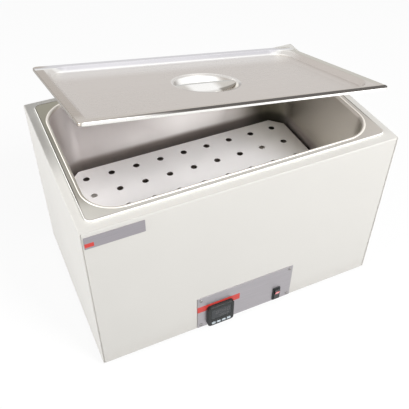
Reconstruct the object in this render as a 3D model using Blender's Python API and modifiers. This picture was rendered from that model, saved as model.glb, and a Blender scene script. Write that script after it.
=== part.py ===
# Circulating water bath: painted cabinet, pan-shaped tank, perforated shelf, stirrer and loose lid.
# Lengths are metres. +Z is up, the front faces -Y, and the origin is on the floor under the middle.

import math

import bmesh
import bpy
from mathutils import Matrix, Vector

# Clearances and settings shared by every piece
gap = 0.0003
overrun = 0.004
weld_distance = gap / 4
corner_steps = 6
bezel_steps = 4
slot_steps = 3
plate_steps = 2
square_steps = 1
round_steps = 20
fine_steps = 28
edge_segments = 2
bend_segments = 3
round_profile = 0.5
facing_share = 0.9
chamfer_share = 0.9
sharp_angle = math.radians(35)
quarter_turn = math.pi / 2

# Cabinet: its width and depth are the tank's rim and the deck's borders round it
deck_side_border = 0.0155
deck_front_border = 0.016
sheet = 0.0015
bend_radius = 0.002
lip_width = 0.014
panel_return = 0.012
floor_clearance = 0.008

# Rear panel and its air slots
rear_inset = 0.0008
rear_corner = 0.003
rear_screw_inset = 0.007
rear_screw_columns = 3
vent_length = 0.060
vent_height = 0.004
vent_pitch = 0.011
vent_count = 6
vent_wall_room = 0.129
rear_vent_z = 0.070
base_vent_back_room = 0.121

# Rubber feet
foot_radius = 0.013
foot_tip_radius = 0.010
foot_inset = 0.045
foot_recess_radius = 0.0062
foot_recess_depth = 0.0045

# Tank: a deep pan that hangs by its rim in the deck
rim_flange = 0.011
rim_corner = 0.011
rim_height = 0.0036
rim_round = 0.001
opening_length = 0.505
opening_width = 0.302
opening_corner = 0.055
bead_width = 0.003
bead_height = 0.001
tank_depth = 0.203
tank_draft = 0.0105
tank_sheet = 0.001
tank_floor_round = 0.016
floor_round_steps = 4
deck_clearance = 0.003

# Seal under the rim and jacket round the walls
gasket_width = 0.0035
insulation_thickness = 0.015
insulation_top_drop = 0.010
insulation_foot = 0.020

# Perforated shelf on four legs
shelf_end_room = 0.0175
shelf_side_room = 0.0225
shelf_cut_x = 0.025
shelf_cut_y = 0.023
shelf_sheet = 0.0015
shelf_height = 0.0564
hole_pitch = 0.0508
hole_radius = 0.00635
hole_border = 0.020
hole_steps = 16
leg_radius = 0.0075
leg_foot_radius = 0.0095
leg_foot_height = 0.003
spigot_sink = 0.0004

# Immersion heater and its two glands
heater_radius = 0.004
heater_end_gap = 0.0021
heater_side_gap = 0.0237
heater_lift = 0.018
heater_bend = 0.020
heater_tail = 0.032
heater_entry = 0.026
bend_steps = 5
gland_radius = 0.011
gland_height = 0.005
gland_neck_radius = 0.0065
gland_neck_reach = 0.012
gland_nut_radius = 0.0105
gland_nut_height = 0.006
hex_steps = 6

# Temperature probe
probe_radius = 0.0025
probe_y = -0.040
probe_rise = 0.040
probe_tail = 0.035

# Stirrer in the tank
impeller_radius = 0.034
impeller_disc = 0.007
impeller_hub_radius = 0.009
impeller_hub_height = 0.018
blade_count = 6
blade_length = 0.020
blade_height = 0.008
blade_thickness = 0.0024
blade_sink = 0.001
pin_radius = 0.003
pin_base_radius = 0.010
pin_base_height = 0.002
pin_cap_radius = 0.006
pin_cap_height = 0.005
pin_cap_grip = 0.003

# Motor, its magnet and its bracket under the tank
magnet_radius = 0.030
magnet_height = 0.010
magnet_air_gap = 0.004
magnet_hub_radius = 0.008
magnet_hub_height = 0.006
shaft_radius = 0.003
shaft_grip = 0.016
motor_radius = 0.034
motor_height = 0.046
motor_bell_radius = 0.026
motor_bell_height = 0.006
motor_boss_radius = 0.009
motor_boss_height = 0.004
bracket_width = 0.084
bracket_depth = 0.072
bracket_height = 0.0494
bracket_sheet = 0.002
bracket_foot = 0.016
bracket_hole_y = 0.026

# Over-temperature cut-out under the tank
cutout_reach = 0.058
cutout_y = 0.045
cutout_radius = 0.0085
cutout_height = 0.009
cutout_cap_radius = 0.0075
cutout_cap_height = 0.003
cutout_tab_width = 0.0063
cutout_tab_sheet = 0.0008
cutout_tab_length = 0.008
cutout_tab_spread = 0.004

# Solid-state relay, its heat sink and the terminal block on the base
sink_width = 0.080
sink_depth = 0.070
sink_plate = 0.006
sink_fin_height = 0.024
sink_fin = 0.002
sink_fin_count = 7
sink_wall_room = 0.104
sink_front_room = 0.118
relay_width = 0.045
relay_depth = 0.058
relay_height = 0.023
relay_slot_width = 0.010
relay_slot_depth = 0.009
relay_slot_height = 0.008
block_width = 0.060
block_depth = 0.022
block_height = 0.018
block_wall_room = 0.104
block_back_room = 0.108
block_ways = 5
block_way_radius = 0.0035
block_way_depth = 0.010

# Fascia plate on the front
fascia_width = 0.197
fascia_height = 0.0845
fascia_x = 0.0025
fascia_lift = 0.0015
fascia_sheet = 0.0015
fascia_corner = 0.001
fascia_screw_x = 0.0065
fascia_screw_low = 0.007
fascia_screw_high = 0.0065

# Temperature controller
controller_size = 0.053
controller_corner = 0.0065
controller_bezel = 0.0078
controller_x = -0.0515
controller_z = 0.0305
controller_edge = 0.0016
case_size = 0.0445
case_length = 0.075
window_width = 0.040
window_height = 0.027
window_rise = 0.006
window_recess = 0.0011
window_sheet = 0.0006
window_corner = 0.0015
button_count = 4
button_width = 0.0078
button_height = 0.0046
button_pitch = 0.0103
button_drop = 0.0185
button_corner = 0.0012
button_stand = 0.0008
button_travel = 0.0008
button_body = 0.0022
clamp_wall = 0.004
clamp_length = 0.010

# Power switch with a lit lens
switch_x = 0.0698
switch_z = 0.0205
switch_width = 0.0160
switch_height = 0.0330
switch_flange = 0.0018
switch_corner = 0.0015
switch_body_width = 0.0128
switch_body_height = 0.0285
switch_body_depth = 0.024
rocker_width = 0.0100
rocker_half = 0.0125
rocker_tip = 0.0032
rocker_middle = 0.0012
rocker_depth = 0.0055
rocker_keel = 0.0080
rocker_keel_half = 0.0045
rocker_clearance = 0.0006
rocker_tilt = math.radians(9)
lens_width = 0.0070
lens_length = 0.0075
lens_sink = 0.0009
lens_sheet = 0.0012

# Name plate on the front's upper corner
name_width = 0.094
name_height = 0.0235
name_left = 0.0045
name_top = 0.0095
name_sheet = 0.0008
name_corner = 0.0008

# Power inlet with its fuse drawer on the rear
inlet_wall_room = 0.074
inlet_z = 0.055
inlet_width = 0.050
inlet_height = 0.040
inlet_flange = 0.0030
inlet_corner = 0.004
inlet_screw_spacing = 0.040
inlet_body_width = 0.029
inlet_body_height = 0.034
inlet_body_depth = 0.026
socket_width = 0.0242
socket_height = 0.0165
socket_rise = 0.0065
socket_depth = 0.017
socket_cut = 0.005
pin_blade_width = 0.004
pin_blade_sheet = 0.002
pin_blade_length = 0.016
pin_blade_spread = 0.007
pin_blade_rise = 0.002
drawer_width = 0.022
drawer_height = 0.0075
drawer_drop = 0.0105
drawer_length = 0.018
drawer_lip = 0.001
drawer_lip_width = 0.0014

# Loose lid: turned-down edge, flat border, sunk panel and a dished grip with a strap
lid_inset = 0.0065
lid_corner = 0.009
lid_skirt = 0.005
lid_round = 0.001
lid_sheet = 0.0008
lid_border = 0.0145
lid_panel_corner = 0.032
lid_riser_run = 0.007
lid_riser_drop = 0.010
lid_panel_round = 0.003
dish_radius = 0.058
dish_depth = 0.015
dish_shares = ((0.95, 0.10), (0.84, 0.42), (0.66, 0.76), (0.40, 0.95), (0.12, 1.0))
strap_length = 0.130
strap_end_width = 0.018
strap_middle_width = 0.044
strap_rise = 0.0065
strap_crown = 0.0035
strap_sheet = 0.0012
strap_land = 0.008
strap_columns = 18
strap_rows = 6
lid_open_angle = math.radians(16.3)
lid_axis_angle = math.radians(151.2)

# Screws of the fascia and the inlet, and the hole radii of every screw
screw_radius = 0.0015
screw_length = 0.007
screw_head_radius = 0.0031
screw_head_height = 0.0014
screw_steps = 12
screw_dome_share = 0.72
small_hole = 0.0020
panel_hole = 0.0023
foot_hole = 0.0025

# Sizes worked out from the tank's opening, which leads the cabinet, lid, shelf and heater
rim_length = opening_length + 2 * rim_flange
rim_width = opening_width + 2 * rim_flange
cabinet_width = rim_length + 2 * deck_side_border
cabinet_depth = rim_width + 2 * deck_front_border
lid_length = rim_length - 2 * lid_inset
lid_width = rim_width - 2 * lid_inset
shelf_length = opening_length - 2 * shelf_end_room
shelf_width = opening_width - 2 * shelf_side_room
hole_columns = int((shelf_length - 2 * hole_border) / hole_pitch) + 1
hole_rows = int((shelf_width - 2 * hole_border) / hole_pitch) + 1
leg_columns = (0, hole_columns - 2)
leg_rows = (1, hole_rows - 2)
leg_x = (leg_columns[1] - (hole_columns - 1) / 2) * hole_pitch
leg_y = (leg_rows[1] - (hole_rows - 1) / 2) * hole_pitch
heater_half_length = leg_x + leg_foot_radius + heater_end_gap + heater_radius
heater_half_width = leg_y + leg_foot_radius + heater_side_gap + heater_radius
probe_x = (impeller_radius + leg_x - leg_foot_radius) / 2
cutout_x = cutout_reach - heater_half_length

# Places worked out from the sizes above
bezel_base = gap + fascia_sheet + gap
front_reach = bezel_base + controller_bezel + button_stand
rear_reach = gap + inlet_flange + gap + screw_head_height
middle_y = (front_reach - rear_reach) / 2
front_y = middle_y - cabinet_depth / 2
back_y = middle_y + cabinet_depth / 2
wrapper_back = back_y - sheet - gap
cabinet_bottom = floor_clearance
base_low = cabinet_bottom + sheet + gap
base_high = base_low + sheet
motor_low = base_high + gap + bracket_height + gap
magnet_low = (motor_low + motor_height + motor_bell_height + motor_boss_height + gap
              + magnet_hub_height)
tank_under = magnet_low + magnet_height + magnet_air_gap
tank_floor = tank_under + tank_sheet
rim_top = tank_floor + tank_depth
cabinet_top = rim_top - rim_height
cabinet_height = cabinet_top - cabinet_bottom
deck_low = cabinet_top - sheet
shelf_top = tank_floor + shelf_height
shelf_low = shelf_top - shelf_sheet
fascia_back = front_y - gap
fascia_front = fascia_back - fascia_sheet
fascia_low = cabinet_bottom + fascia_lift
bezel_back = front_y - bezel_base
bezel_front = bezel_back - controller_bezel
vent_x = cabinet_width / 2 - vent_wall_room
base_vent_y = back_y - base_vent_back_room
sink_x = cabinet_width / 2 - sink_wall_room
sink_y = front_y + sink_front_room
block_x = block_wall_room - cabinet_width / 2
block_y = back_y - block_back_room
inlet_x = cabinet_width / 2 - inlet_wall_room

# Colour, roughness and metallic value of each finish
finishes = {
    "paint": ((0.86, 0.85, 0.81), 0.42, 0.0),
    "steel": ((0.62, 0.59, 0.56), 0.28, 1.0),
    "bright_steel": ((0.72, 0.70, 0.68), 0.2, 1.0),
    "satin_plate": ((0.80, 0.79, 0.78), 0.35, 1.0),
    "aluminium": ((0.60, 0.58, 0.61), 0.4, 1.0),
    "zinc": ((0.62, 0.63, 0.64), 0.4, 1.0),
    "brass": ((0.72, 0.55, 0.26), 0.3, 1.0),
    "black_plastic": ((0.03, 0.035, 0.035), 0.45, 0.0),
    "dark_window": ((0.02, 0.025, 0.03), 0.12, 0.0),
    "grey_key": ((0.62, 0.66, 0.68), 0.5, 0.0),
    "red_lens": ((0.80, 0.10, 0.12), 0.2, 0.0),
    "rubber": ((0.03, 0.03, 0.03), 0.8, 0.0),
    "silicone": ((0.75, 0.74, 0.70), 0.7, 0.0),
    "glass_wool": ((0.82, 0.76, 0.55), 0.95, 0.0),
    "white_plastic": ((0.85, 0.85, 0.82), 0.5, 0.0),
    "motor_paint": ((0.12, 0.13, 0.14), 0.5, 0.3),
}


def clear_scene():
    for item in list(bpy.data.objects):
        bpy.data.objects.remove(item, do_unlink=True)


clear_scene()
parts = bpy.data.collections.new("circulating_water_bath")
cutters = bpy.data.collections.new("cutters")
bpy.context.scene.collection.children.link(parts)
bpy.context.scene.collection.children.link(cutters)


# Helpers for meshes

def make_material(name, finish):
    colour, roughness, metallic = finishes[finish]
    material = bpy.data.materials.new(name + "_finish")
    material.use_nodes = True
    shader = material.node_tree.nodes["Principled BSDF"]
    shader.inputs["Base Color"].default_value = (*colour, 1)
    shader.inputs["Roughness"].default_value = roughness
    shader.inputs["Metallic"].default_value = metallic
    material.diffuse_color = (*colour, 1)
    return material


def place_part(name, data, finish, place=(0, 0, 0)):
    item = bpy.data.objects.new(name, data)
    parts.objects.link(item)
    data.materials.append(make_material(name, finish))
    item.location = place
    return item


def mesh_from(bm, name):
    mesh = bpy.data.meshes.new(name)
    bm.to_mesh(mesh)
    bm.free()
    mesh.shade_smooth()
    mesh.set_sharp_from_angle(angle=sharp_angle)
    return mesh


def part_from(bm, name, finish, place=(0, 0, 0)):
    return place_part(name, mesh_from(bm, name), finish, place)


def cutter_from(bm, name, place=(0, 0, 0)):
    item = bpy.data.objects.new("cut_" + name, mesh_from(bm, "cut_" + name))
    cutters.objects.link(item)
    item.location = place
    item.hide_render = True
    item.display_type = "WIRE"
    return item


def turned_to(axis):
    turns = {"X": Matrix.Rotation(quarter_turn, 4, "Y"), "Y": Matrix.Rotation(-quarter_turn, 4, "X")}
    return turns.get(axis, Matrix.Identity(4))


def add_box(bm, low, high):
    low = Vector(low)
    high = Vector(high)
    size = high - low
    matrix = Matrix.Translation((low + high) / 2) @ Matrix.Diagonal((*size, 1))
    return bmesh.ops.create_cube(bm, size=1, matrix=matrix)["verts"]


def add_cylinder(bm, radius, low, high, place=(0, 0), axis="Z", steps=round_steps, top_radius=None):
    tip = radius if top_radius is None else top_radius
    spots = {"X": (1, 2, 0), "Y": (0, 2, 1), "Z": (0, 1, 2)}[axis]
    centre = [0, 0, 0]
    centre[spots[0]] = place[0]
    centre[spots[1]] = place[1]
    centre[spots[2]] = (low + high) / 2
    matrix = Matrix.Translation(centre) @ turned_to(axis)
    bmesh.ops.create_cone(bm, cap_ends=True, segments=steps, radius1=radius, radius2=tip,
                          depth=high - low, matrix=matrix)


def add_modifier(item, kind, **settings):
    modifier = item.modifiers.new(kind.title(), kind)
    for key, value in settings.items():
        setattr(modifier, key, value)
    return modifier


def thicken(item, thickness):
    add_modifier(item, "SOLIDIFY", thickness=thickness, offset=-1, use_even_offset=True)


def cut(item, cutter, operation="DIFFERENCE"):
    add_modifier(item, "BOOLEAN", object=cutter, operation=operation, solver="EXACT")


def rounded_outline(length, width, radius, steps=corner_steps, centre=(0, 0)):
    reach = min(radius, length / 2, width / 2)
    middles = ((1, 1, 0), (-1, 1, 1), (-1, -1, 2), (1, -1, 3))
    outline = []
    for side_x, side_y, quarter in middles:
        x = centre[0] + side_x * (length / 2 - reach)
        y = centre[1] + side_y * (width / 2 - reach)
        for step in range(steps + 1):
            angle = quarter_turn * (quarter + step / steps)
            outline.append((x + reach * math.cos(angle), y + reach * math.sin(angle)))
    return outline


def ring_outline(radius, steps=corner_steps, centre=(0, 0)):
    count = 4 * (steps + 1)
    outline = []
    for step in range(count):
        angle = quarter_turn / 2 + (step - steps / 2) * 2 * math.pi / count
        outline.append((centre[0] + radius * math.cos(angle), centre[1] + radius * math.sin(angle)))
    return outline


def circle_outline(radius, centre=(0, 0), steps=hole_steps):
    angles = [2 * math.pi * step / steps for step in range(steps)]
    return [(centre[0] + radius * math.cos(a), centre[1] + radius * math.sin(a)) for a in angles]


def slot_outline(length, height, centre):
    return rounded_outline(length, height, height / 2, slot_steps, centre)


def loft(sections, close_profile=False, cap_first=False, cap_last=False):
    bm = bmesh.new()
    rings = []
    for outline, z in sections:
        rings.append([bm.verts.new((x, y, z)) for x, y in outline])
    pairs = list(zip(rings, rings[1:]))
    if close_profile:
        pairs.append((rings[-1], rings[0]))
    for first, second in pairs:
        count = len(first)
        for here in range(count):
            after = (here + 1) % count
            bm.faces.new((first[here], first[after], second[after], second[here]))
    if cap_first:
        bm.faces.new(list(reversed(rings[0])))
    if cap_last:
        bm.faces.new(rings[-1])
    bmesh.ops.recalc_face_normals(bm, faces=bm.faces)
    return bm


def face_up(bm):
    bm.normal_update()
    flat = max(bm.faces, key=lambda face: face.calc_area())
    if flat.normal.z < 0:
        bmesh.ops.reverse_faces(bm, faces=bm.faces)


def add_prism(bm, outline, low, high):
    rings = [[bm.verts.new((x, y, z)) for x, y in outline] for z in (low, high)]
    count = len(outline)
    for here in range(count):
        after = (here + 1) % count
        bm.faces.new((rings[0][here], rings[0][after], rings[1][after], rings[1][here]))
    bm.faces.new(list(reversed(rings[0])))
    bm.faces.new(rings[1])


def flat_plate(name, outlines, thickness, finish, place, upright=False):
    curve = bpy.data.curves.new(name, "CURVE")
    curve.dimensions = "2D"
    curve.fill_mode = "BOTH"
    curve.extrude = thickness / 2
    for outline in outlines:
        spline = curve.splines.new("POLY")
        spline.points.add(len(outline) - 1)
        for point, (x, y) in zip(spline.points, outline):
            point.co = (x, y, 0, 1)
        spline.use_cyclic_u = True
    item = place_part(name, curve, finish, place)
    if upright:
        item.rotation_euler = (quarter_turn, 0, 0)
    return item


def turned_part(name, profile, finish, place, steps=round_steps, closed=False):
    bm = bmesh.new()
    verts = [bm.verts.new((radius, 0, z)) for radius, z in profile]
    for first, second in zip(verts, verts[1:]):
        bm.edges.new((first, second))
    if closed:
        bm.edges.new((verts[-1], verts[0]))
    mesh = bpy.data.meshes.new(name)
    bm.to_mesh(mesh)
    bm.free()
    item = place_part(name, mesh, finish, place)
    add_modifier(item, "SCREW", steps=steps, render_steps=steps, use_merge_vertices=True,
                 merge_threshold=weld_distance, use_smooth_shade=True)
    return item


def tube_part(name, path, radius, finish, bevel_resolution=2):
    curve = bpy.data.curves.new(name, "CURVE")
    curve.dimensions = "3D"
    curve.bevel_depth = radius
    curve.bevel_resolution = bevel_resolution
    curve.use_fill_caps = True
    spline = curve.splines.new("POLY")
    spline.points.add(len(path) - 1)
    for point, spot in zip(spline.points, path):
        point.co = (*spot, 1)
    return place_part(name, curve, finish)


def bent_path(corners, radius):
    path = [Vector(corners[0])]
    for before, here, after in zip(corners, corners[1:], corners[2:]):
        corner = Vector(here)
        back = (Vector(before) - corner).normalized()
        ahead = (Vector(after) - corner).normalized()
        turn = math.pi - back.angle(ahead)
        reach = radius * math.tan(turn / 2)
        middle = corner + (back + ahead).normalized() * (radius / math.cos(turn / 2))
        start = corner + back * reach - middle
        axis = back.cross(start)
        for step in range(bend_steps + 1):
            path.append(middle + Matrix.Rotation(turn * step / bend_steps, 3, axis) @ start)
    path.append(Vector(corners[-1]))
    return path


def add_screw(bm, matrix):
    cone = bmesh.ops.create_cone(bm, cap_ends=True, segments=screw_steps, radius1=screw_radius,
                                 radius2=screw_radius, depth=screw_length,
                                 matrix=Matrix.Translation((0, 0, -screw_length / 2)))
    verts = list(cone["verts"])
    top = [face for face in bm.faces if face.normal.z > facing_share][0]
    domed = screw_head_radius * screw_dome_share
    for height, radius in ((0, screw_head_radius), (screw_head_height, domed)):
        grown = bmesh.ops.extrude_face_region(bm, geom=[top])["geom"]
        bmesh.ops.delete(bm, geom=[top], context="FACES_ONLY")
        top = [piece for piece in grown if isinstance(piece, bmesh.types.BMFace)][0]
        for vert in top.verts:
            flat = Vector((vert.co.x, vert.co.y, 0)).normalized() * radius
            vert.co = Vector((flat.x, flat.y, vert.co.z + height))
        verts += list(top.verts)
    bmesh.ops.transform(bm, matrix=matrix, verts=list(set(verts)))


def screw_set(name, places, direction, finish):
    turn = Vector((0, 0, 1)).rotation_difference(Vector(direction)).to_matrix().to_4x4()
    for number, place in enumerate(places, 1):
        bm = bmesh.new()
        add_screw(bm, turn)
        part_from(bm, name + "_" + str(number), finish, place)


# Cabinet

def rear_screw_places():
    half_x = cabinet_width / 2 - rear_screw_inset
    low = cabinet_bottom + rear_screw_inset + lip_width
    high = cabinet_top - rear_screw_inset
    places = []
    for column in range(rear_screw_columns):
        x = half_x * (2 * column / (rear_screw_columns - 1) - 1)
        places.append((x, high))
    for side in (-1, 1):
        places.append((side * half_x, low))
        places.append((side * half_x, (low + high) / 2))
    return places


def deck_cut_outline():
    wider = 2 * (tank_sheet + deck_clearance)
    radius = opening_corner + tank_sheet + deck_clearance
    return rounded_outline(opening_length + wider, opening_width + wider, radius, centre=(0, middle_y))


def make_wrapper():
    bm = bmesh.new()
    half = cabinet_width / 2
    add_box(bm, (-half, front_y, cabinet_bottom), (half, wrapper_back, cabinet_top))
    front = [face for face in bm.faces if face.normal.y < -facing_share]
    bmesh.ops.delete(bm, geom=front, context="FACES_ONLY")
    bends = []
    for edge in bm.edges:
        first, second = (vert.co for vert in edge.verts)
        runs_back = abs((second - first).normalized().y) > facing_share
        if runs_back and min(first.z, second.z) > cabinet_top - sheet:
            bends.append(edge)
    bmesh.ops.bevel(bm, geom=bends, offset=bend_radius, segments=bend_segments, profile=round_profile,
                    affect="EDGES")
    wrapper = part_from(bm, "cabinet_wrapper", "paint")
    thicken(wrapper, sheet)
    bm = bmesh.new()
    add_prism(bm, deck_cut_outline(), deck_low - overrun, cabinet_top + overrun)
    cut(wrapper, cutter_from(bm, "deck_opening"))
    bm = bmesh.new()
    inner = half - lip_width
    add_box(bm, (-inner, wrapper_back - sheet - overrun, cabinet_bottom - overrun),
            (inner, wrapper_back + overrun, cabinet_top - lip_width))
    cut(wrapper, cutter_from(bm, "rear_opening"))
    bm = bmesh.new()
    add_box(bm, (-inner, front_y - overrun, cabinet_bottom - overrun),
            (inner, wrapper_back - lip_width, base_low + gap))
    cut(wrapper, cutter_from(bm, "base_opening"))
    bm = bmesh.new()
    clear = half - sheet - gap / 2
    add_box(bm, (-clear, front_y - overrun, cabinet_bottom - overrun),
            (clear, front_y + panel_return + gap, base_low + gap))
    cut(wrapper, cutter_from(bm, "front_notch"))
    bm = bmesh.new()
    for x, z in rear_screw_places():
        add_cylinder(bm, panel_hole, wrapper_back - overrun, wrapper_back + overrun, (x, z), "Y", hole_steps)
    cut(wrapper, cutter_from(bm, "rear_flange_holes"))


def make_front_panel():
    bm = bmesh.new()
    half = cabinet_width / 2 - sheet - gap
    high = deck_low - gap
    add_box(bm, (-half, front_y, cabinet_bottom), (half, front_y + panel_return, high))
    open_faces = [face for face in bm.faces if face.normal.y > facing_share or face.normal.z < -facing_share]
    bmesh.ops.delete(bm, geom=open_faces, context="FACES_ONLY")
    panel = part_from(bm, "front_panel", "paint")
    thicken(panel, sheet)
    bm = bmesh.new()
    case_half = case_size / 2 + gap
    add_box(bm, (controller_x - case_half, front_y - overrun, controller_z_world() - case_half),
            (controller_x + case_half, front_y + sheet + overrun, controller_z_world() + case_half))
    cut(panel, cutter_from(bm, "controller_hole"))
    bm = bmesh.new()
    half_x = switch_body_width / 2 + gap
    half_z = switch_body_height / 2 + gap
    add_box(bm, (switch_x - half_x, front_y - overrun, switch_z_world() - half_z),
            (switch_x + half_x, front_y + sheet + overrun, switch_z_world() + half_z))
    cut(panel, cutter_from(bm, "switch_hole"))
    bm = bmesh.new()
    for x, z in fascia_screw_places():
        add_cylinder(bm, small_hole, front_y - overrun, front_y + sheet + overrun, (x, z), "Y", hole_steps)
    cut(panel, cutter_from(bm, "fascia_holes"))


def make_rear_panel():
    width = cabinet_width - 2 * rear_inset
    height = cabinet_height - 2 * rear_inset
    middle_z = (cabinet_bottom + cabinet_top) / 2
    outlines = [rounded_outline(width, height, rear_corner, slot_steps, (0, middle_z))]
    for x, z in rear_screw_places():
        outlines.append(circle_outline(panel_hole, (x, z)))
    for row in range(vent_count):
        for side in (-1, 0, 1):
            centre = (side * (vent_length + vent_pitch) - vent_x, rear_vent_z + row * vent_pitch)
            outlines.append(slot_outline(vent_length, vent_height, centre))
    body = (inlet_body_width + 2 * gap, inlet_body_height + 2 * gap)
    outlines.append(rounded_outline(body[0], body[1], gap, square_steps, (inlet_x, inlet_z)))
    for side in (-1, 1):
        spot = (inlet_x + side * inlet_screw_spacing / 2, inlet_z)
        outlines.append(circle_outline(small_hole, spot))
    flat_plate("rear_panel", outlines, sheet, "paint", (0, back_y - sheet / 2, 0), upright=True)


def foot_places():
    x = cabinet_width / 2 - foot_inset
    y = cabinet_depth / 2 - foot_inset
    return {"front_left": (-x, middle_y - y), "front_right": (x, middle_y - y),
            "rear_left": (-x, middle_y + y), "rear_right": (x, middle_y + y)}


def bracket_hole_places():
    x = bracket_width / 2 + bracket_foot / 2
    return [(side * x, middle_y + back * bracket_hole_y) for side in (-1, 1) for back in (-1, 1)]


def make_base_plate():
    half = cabinet_width / 2 - 2 * (sheet + gap)
    low_y = front_y + sheet + gap
    high_y = wrapper_back - sheet - gap
    width = 2 * half
    depth = high_y - low_y
    outlines = [rounded_outline(width, depth, rear_corner, plate_steps, (0, (low_y + high_y) / 2))]
    for spot in foot_places().values():
        outlines.append(circle_outline(foot_hole, spot))
    for spot in bracket_hole_places():
        outlines.append(circle_outline(panel_hole, spot))
    for row in range(vent_count):
        centre = (vent_x, base_vent_y + row * vent_pitch)
        outlines.append(slot_outline(vent_length, vent_height, centre))
    flat_plate("base_plate", outlines, sheet, "paint", (0, 0, (base_low + base_high) / 2))


def make_feet():
    top = base_low - gap
    for name, (x, y) in foot_places().items():
        profile = [(foot_hole, top), (foot_radius, top), (foot_radius, floor_clearance / 2),
                   (foot_tip_radius, 0), (foot_recess_radius, 0),
                   (foot_recess_radius, foot_recess_depth), (foot_hole, foot_recess_depth)]
        turned_part("rubber_foot_" + name, profile, "rubber", (x, y, 0), closed=True)


# Tank and what surrounds it

def tank_outline(extra):
    size = 2 * extra
    return rounded_outline(opening_length + size, opening_width + size, opening_corner + extra,
                           centre=(0, middle_y))


def rim_outline(inset):
    return rounded_outline(rim_length - 2 * inset, rim_width - 2 * inset, rim_corner - inset,
                           centre=(0, middle_y))


def tank_inset(z):
    return tank_draft * (rim_top - z) / tank_depth


def tank_sections():
    third = bead_width / 3
    sections = [
        (rim_outline(0), cabinet_top + gap),
        (rim_outline(0), rim_top - rim_round),
        (rim_outline(rim_round), rim_top),
        (tank_outline(bead_width), rim_top),
        (tank_outline(bead_width - third), rim_top + bead_height),
        (tank_outline(third), rim_top + bead_height),
        (tank_outline(0), rim_top),
    ]
    wall_foot = tank_floor + tank_floor_round
    inset = tank_inset(wall_foot)
    for step in range(floor_round_steps + 1):
        angle = quarter_turn * step / floor_round_steps
        run = tank_floor_round * (1 - math.cos(angle))
        drop = tank_floor_round * (1 - math.sin(angle))
        sections.append((tank_outline(-inset - run), tank_floor + drop))
    return sections


def heater_places():
    return [(-heater_half_length, middle_y - heater_entry), (-heater_half_length, middle_y + heater_entry)]


def make_tank():
    bm = loft(tank_sections(), cap_last=True)
    face_up(bm)
    tank = part_from(bm, "tank", "steel")
    thicken(tank, tank_sheet)
    bm = bmesh.new()
    neck = gland_neck_radius + gap
    for x, y in heater_places() + [(probe_x, middle_y + probe_y)]:
        add_cylinder(bm, neck, tank_under - overrun, tank_floor + overrun, (x, y))
    cut(tank, cutter_from(bm, "tank_holes"))


def make_gasket():
    low = cabinet_top + gap
    high = rim_top - tank_sheet - gap
    inset = tank_sheet + rim_round
    outer_line = rim_outline(inset)
    inner_size = 2 * (inset + gasket_width)
    inner_line = rounded_outline(rim_length - inner_size, rim_width - inner_size,
                                 opening_corner + tank_sheet, centre=(0, middle_y))
    sections = [(inner_line, low), (outer_line, low), (outer_line, high), (inner_line, high)]
    part_from(loft(sections, close_profile=True), "rim_gasket", "silicone")


def make_insulation():
    top = deck_low - insulation_top_drop
    low = tank_floor + insulation_foot
    sections = []
    inner = tank_sheet + gap
    outer = inner + insulation_thickness
    for z, extra in ((low, inner), (low, outer), (top, outer), (top, inner)):
        sections.append((tank_outline(extra - tank_inset(z)), z))
    part_from(loft(sections, close_profile=True), "tank_insulation", "glass_wool")


# Shelf

def shelf_outline():
    half_x = shelf_length / 2
    half_y = shelf_width / 2
    outline = []
    for side_x, side_y, along in ((1, -1, 0), (1, 1, 1), (-1, 1, 0), (-1, -1, 1)):
        corner = [(side_x * (half_x - shelf_cut_x), side_y * half_y),
                  (side_x * half_x, side_y * (half_y - shelf_cut_y))]
        outline += reversed(corner) if along else corner
    return [(x, y + middle_y) for x, y in outline]


def hole_place(column, row):
    return ((column - (hole_columns - 1) / 2) * hole_pitch,
            middle_y + (row - (hole_rows - 1) / 2) * hole_pitch)


def make_shelf():
    outlines = [shelf_outline()]
    for column in range(hole_columns):
        for row in range(hole_rows):
            outlines.append(circle_outline(hole_radius, hole_place(column, row)))
    flat_plate("perforated_shelf", outlines, shelf_sheet, "satin_plate",
               (0, 0, (shelf_low + shelf_top) / 2))
    low = tank_floor + gap
    shoulder = shelf_low - gap
    spigot = hole_radius - gap
    number = 0
    for column in leg_columns:
        for row in leg_rows:
            number += 1
            place = (*hole_place(column, row), 0)
            profile = [(0, shelf_top - spigot_sink), (spigot, shelf_top - spigot_sink), (spigot, shoulder),
                       (leg_radius, shoulder), (leg_radius, low + leg_foot_height),
                       (leg_foot_radius, low + leg_foot_height), (leg_foot_radius, low), (0, low)]
            turned_part("shelf_leg_" + str(number), profile, "bright_steel", place, hole_steps)


# Heater and probe

def gland_profile(bore):
    top = tank_floor + gap + gland_height
    seat = tank_floor + gap
    return [(bore, top), (gland_radius * chamfer_share, top), (gland_radius, seat + gland_height / 2),
            (gland_radius, seat), (gland_neck_radius, seat),
            (gland_neck_radius, tank_under - gland_neck_reach), (bore, tank_under - gland_neck_reach)]


def nut_sections(bore_radius, centre):
    high = tank_under - gap
    low = high - gland_nut_height
    outer = circle_outline(gland_nut_radius, centre, hex_steps * 2)
    hexed = []
    flat_share = math.cos(math.pi / hex_steps)
    for step, (x, y) in enumerate(outer):
        share = flat_share if step % 2 else 1
        hexed.append((centre[0] + (x - centre[0]) * share, centre[1] + (y - centre[1]) * share))
    inner = circle_outline(bore_radius, centre, hex_steps * 2)
    return [(inner, low), (hexed, low), (hexed, high), (inner, high)]


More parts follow.
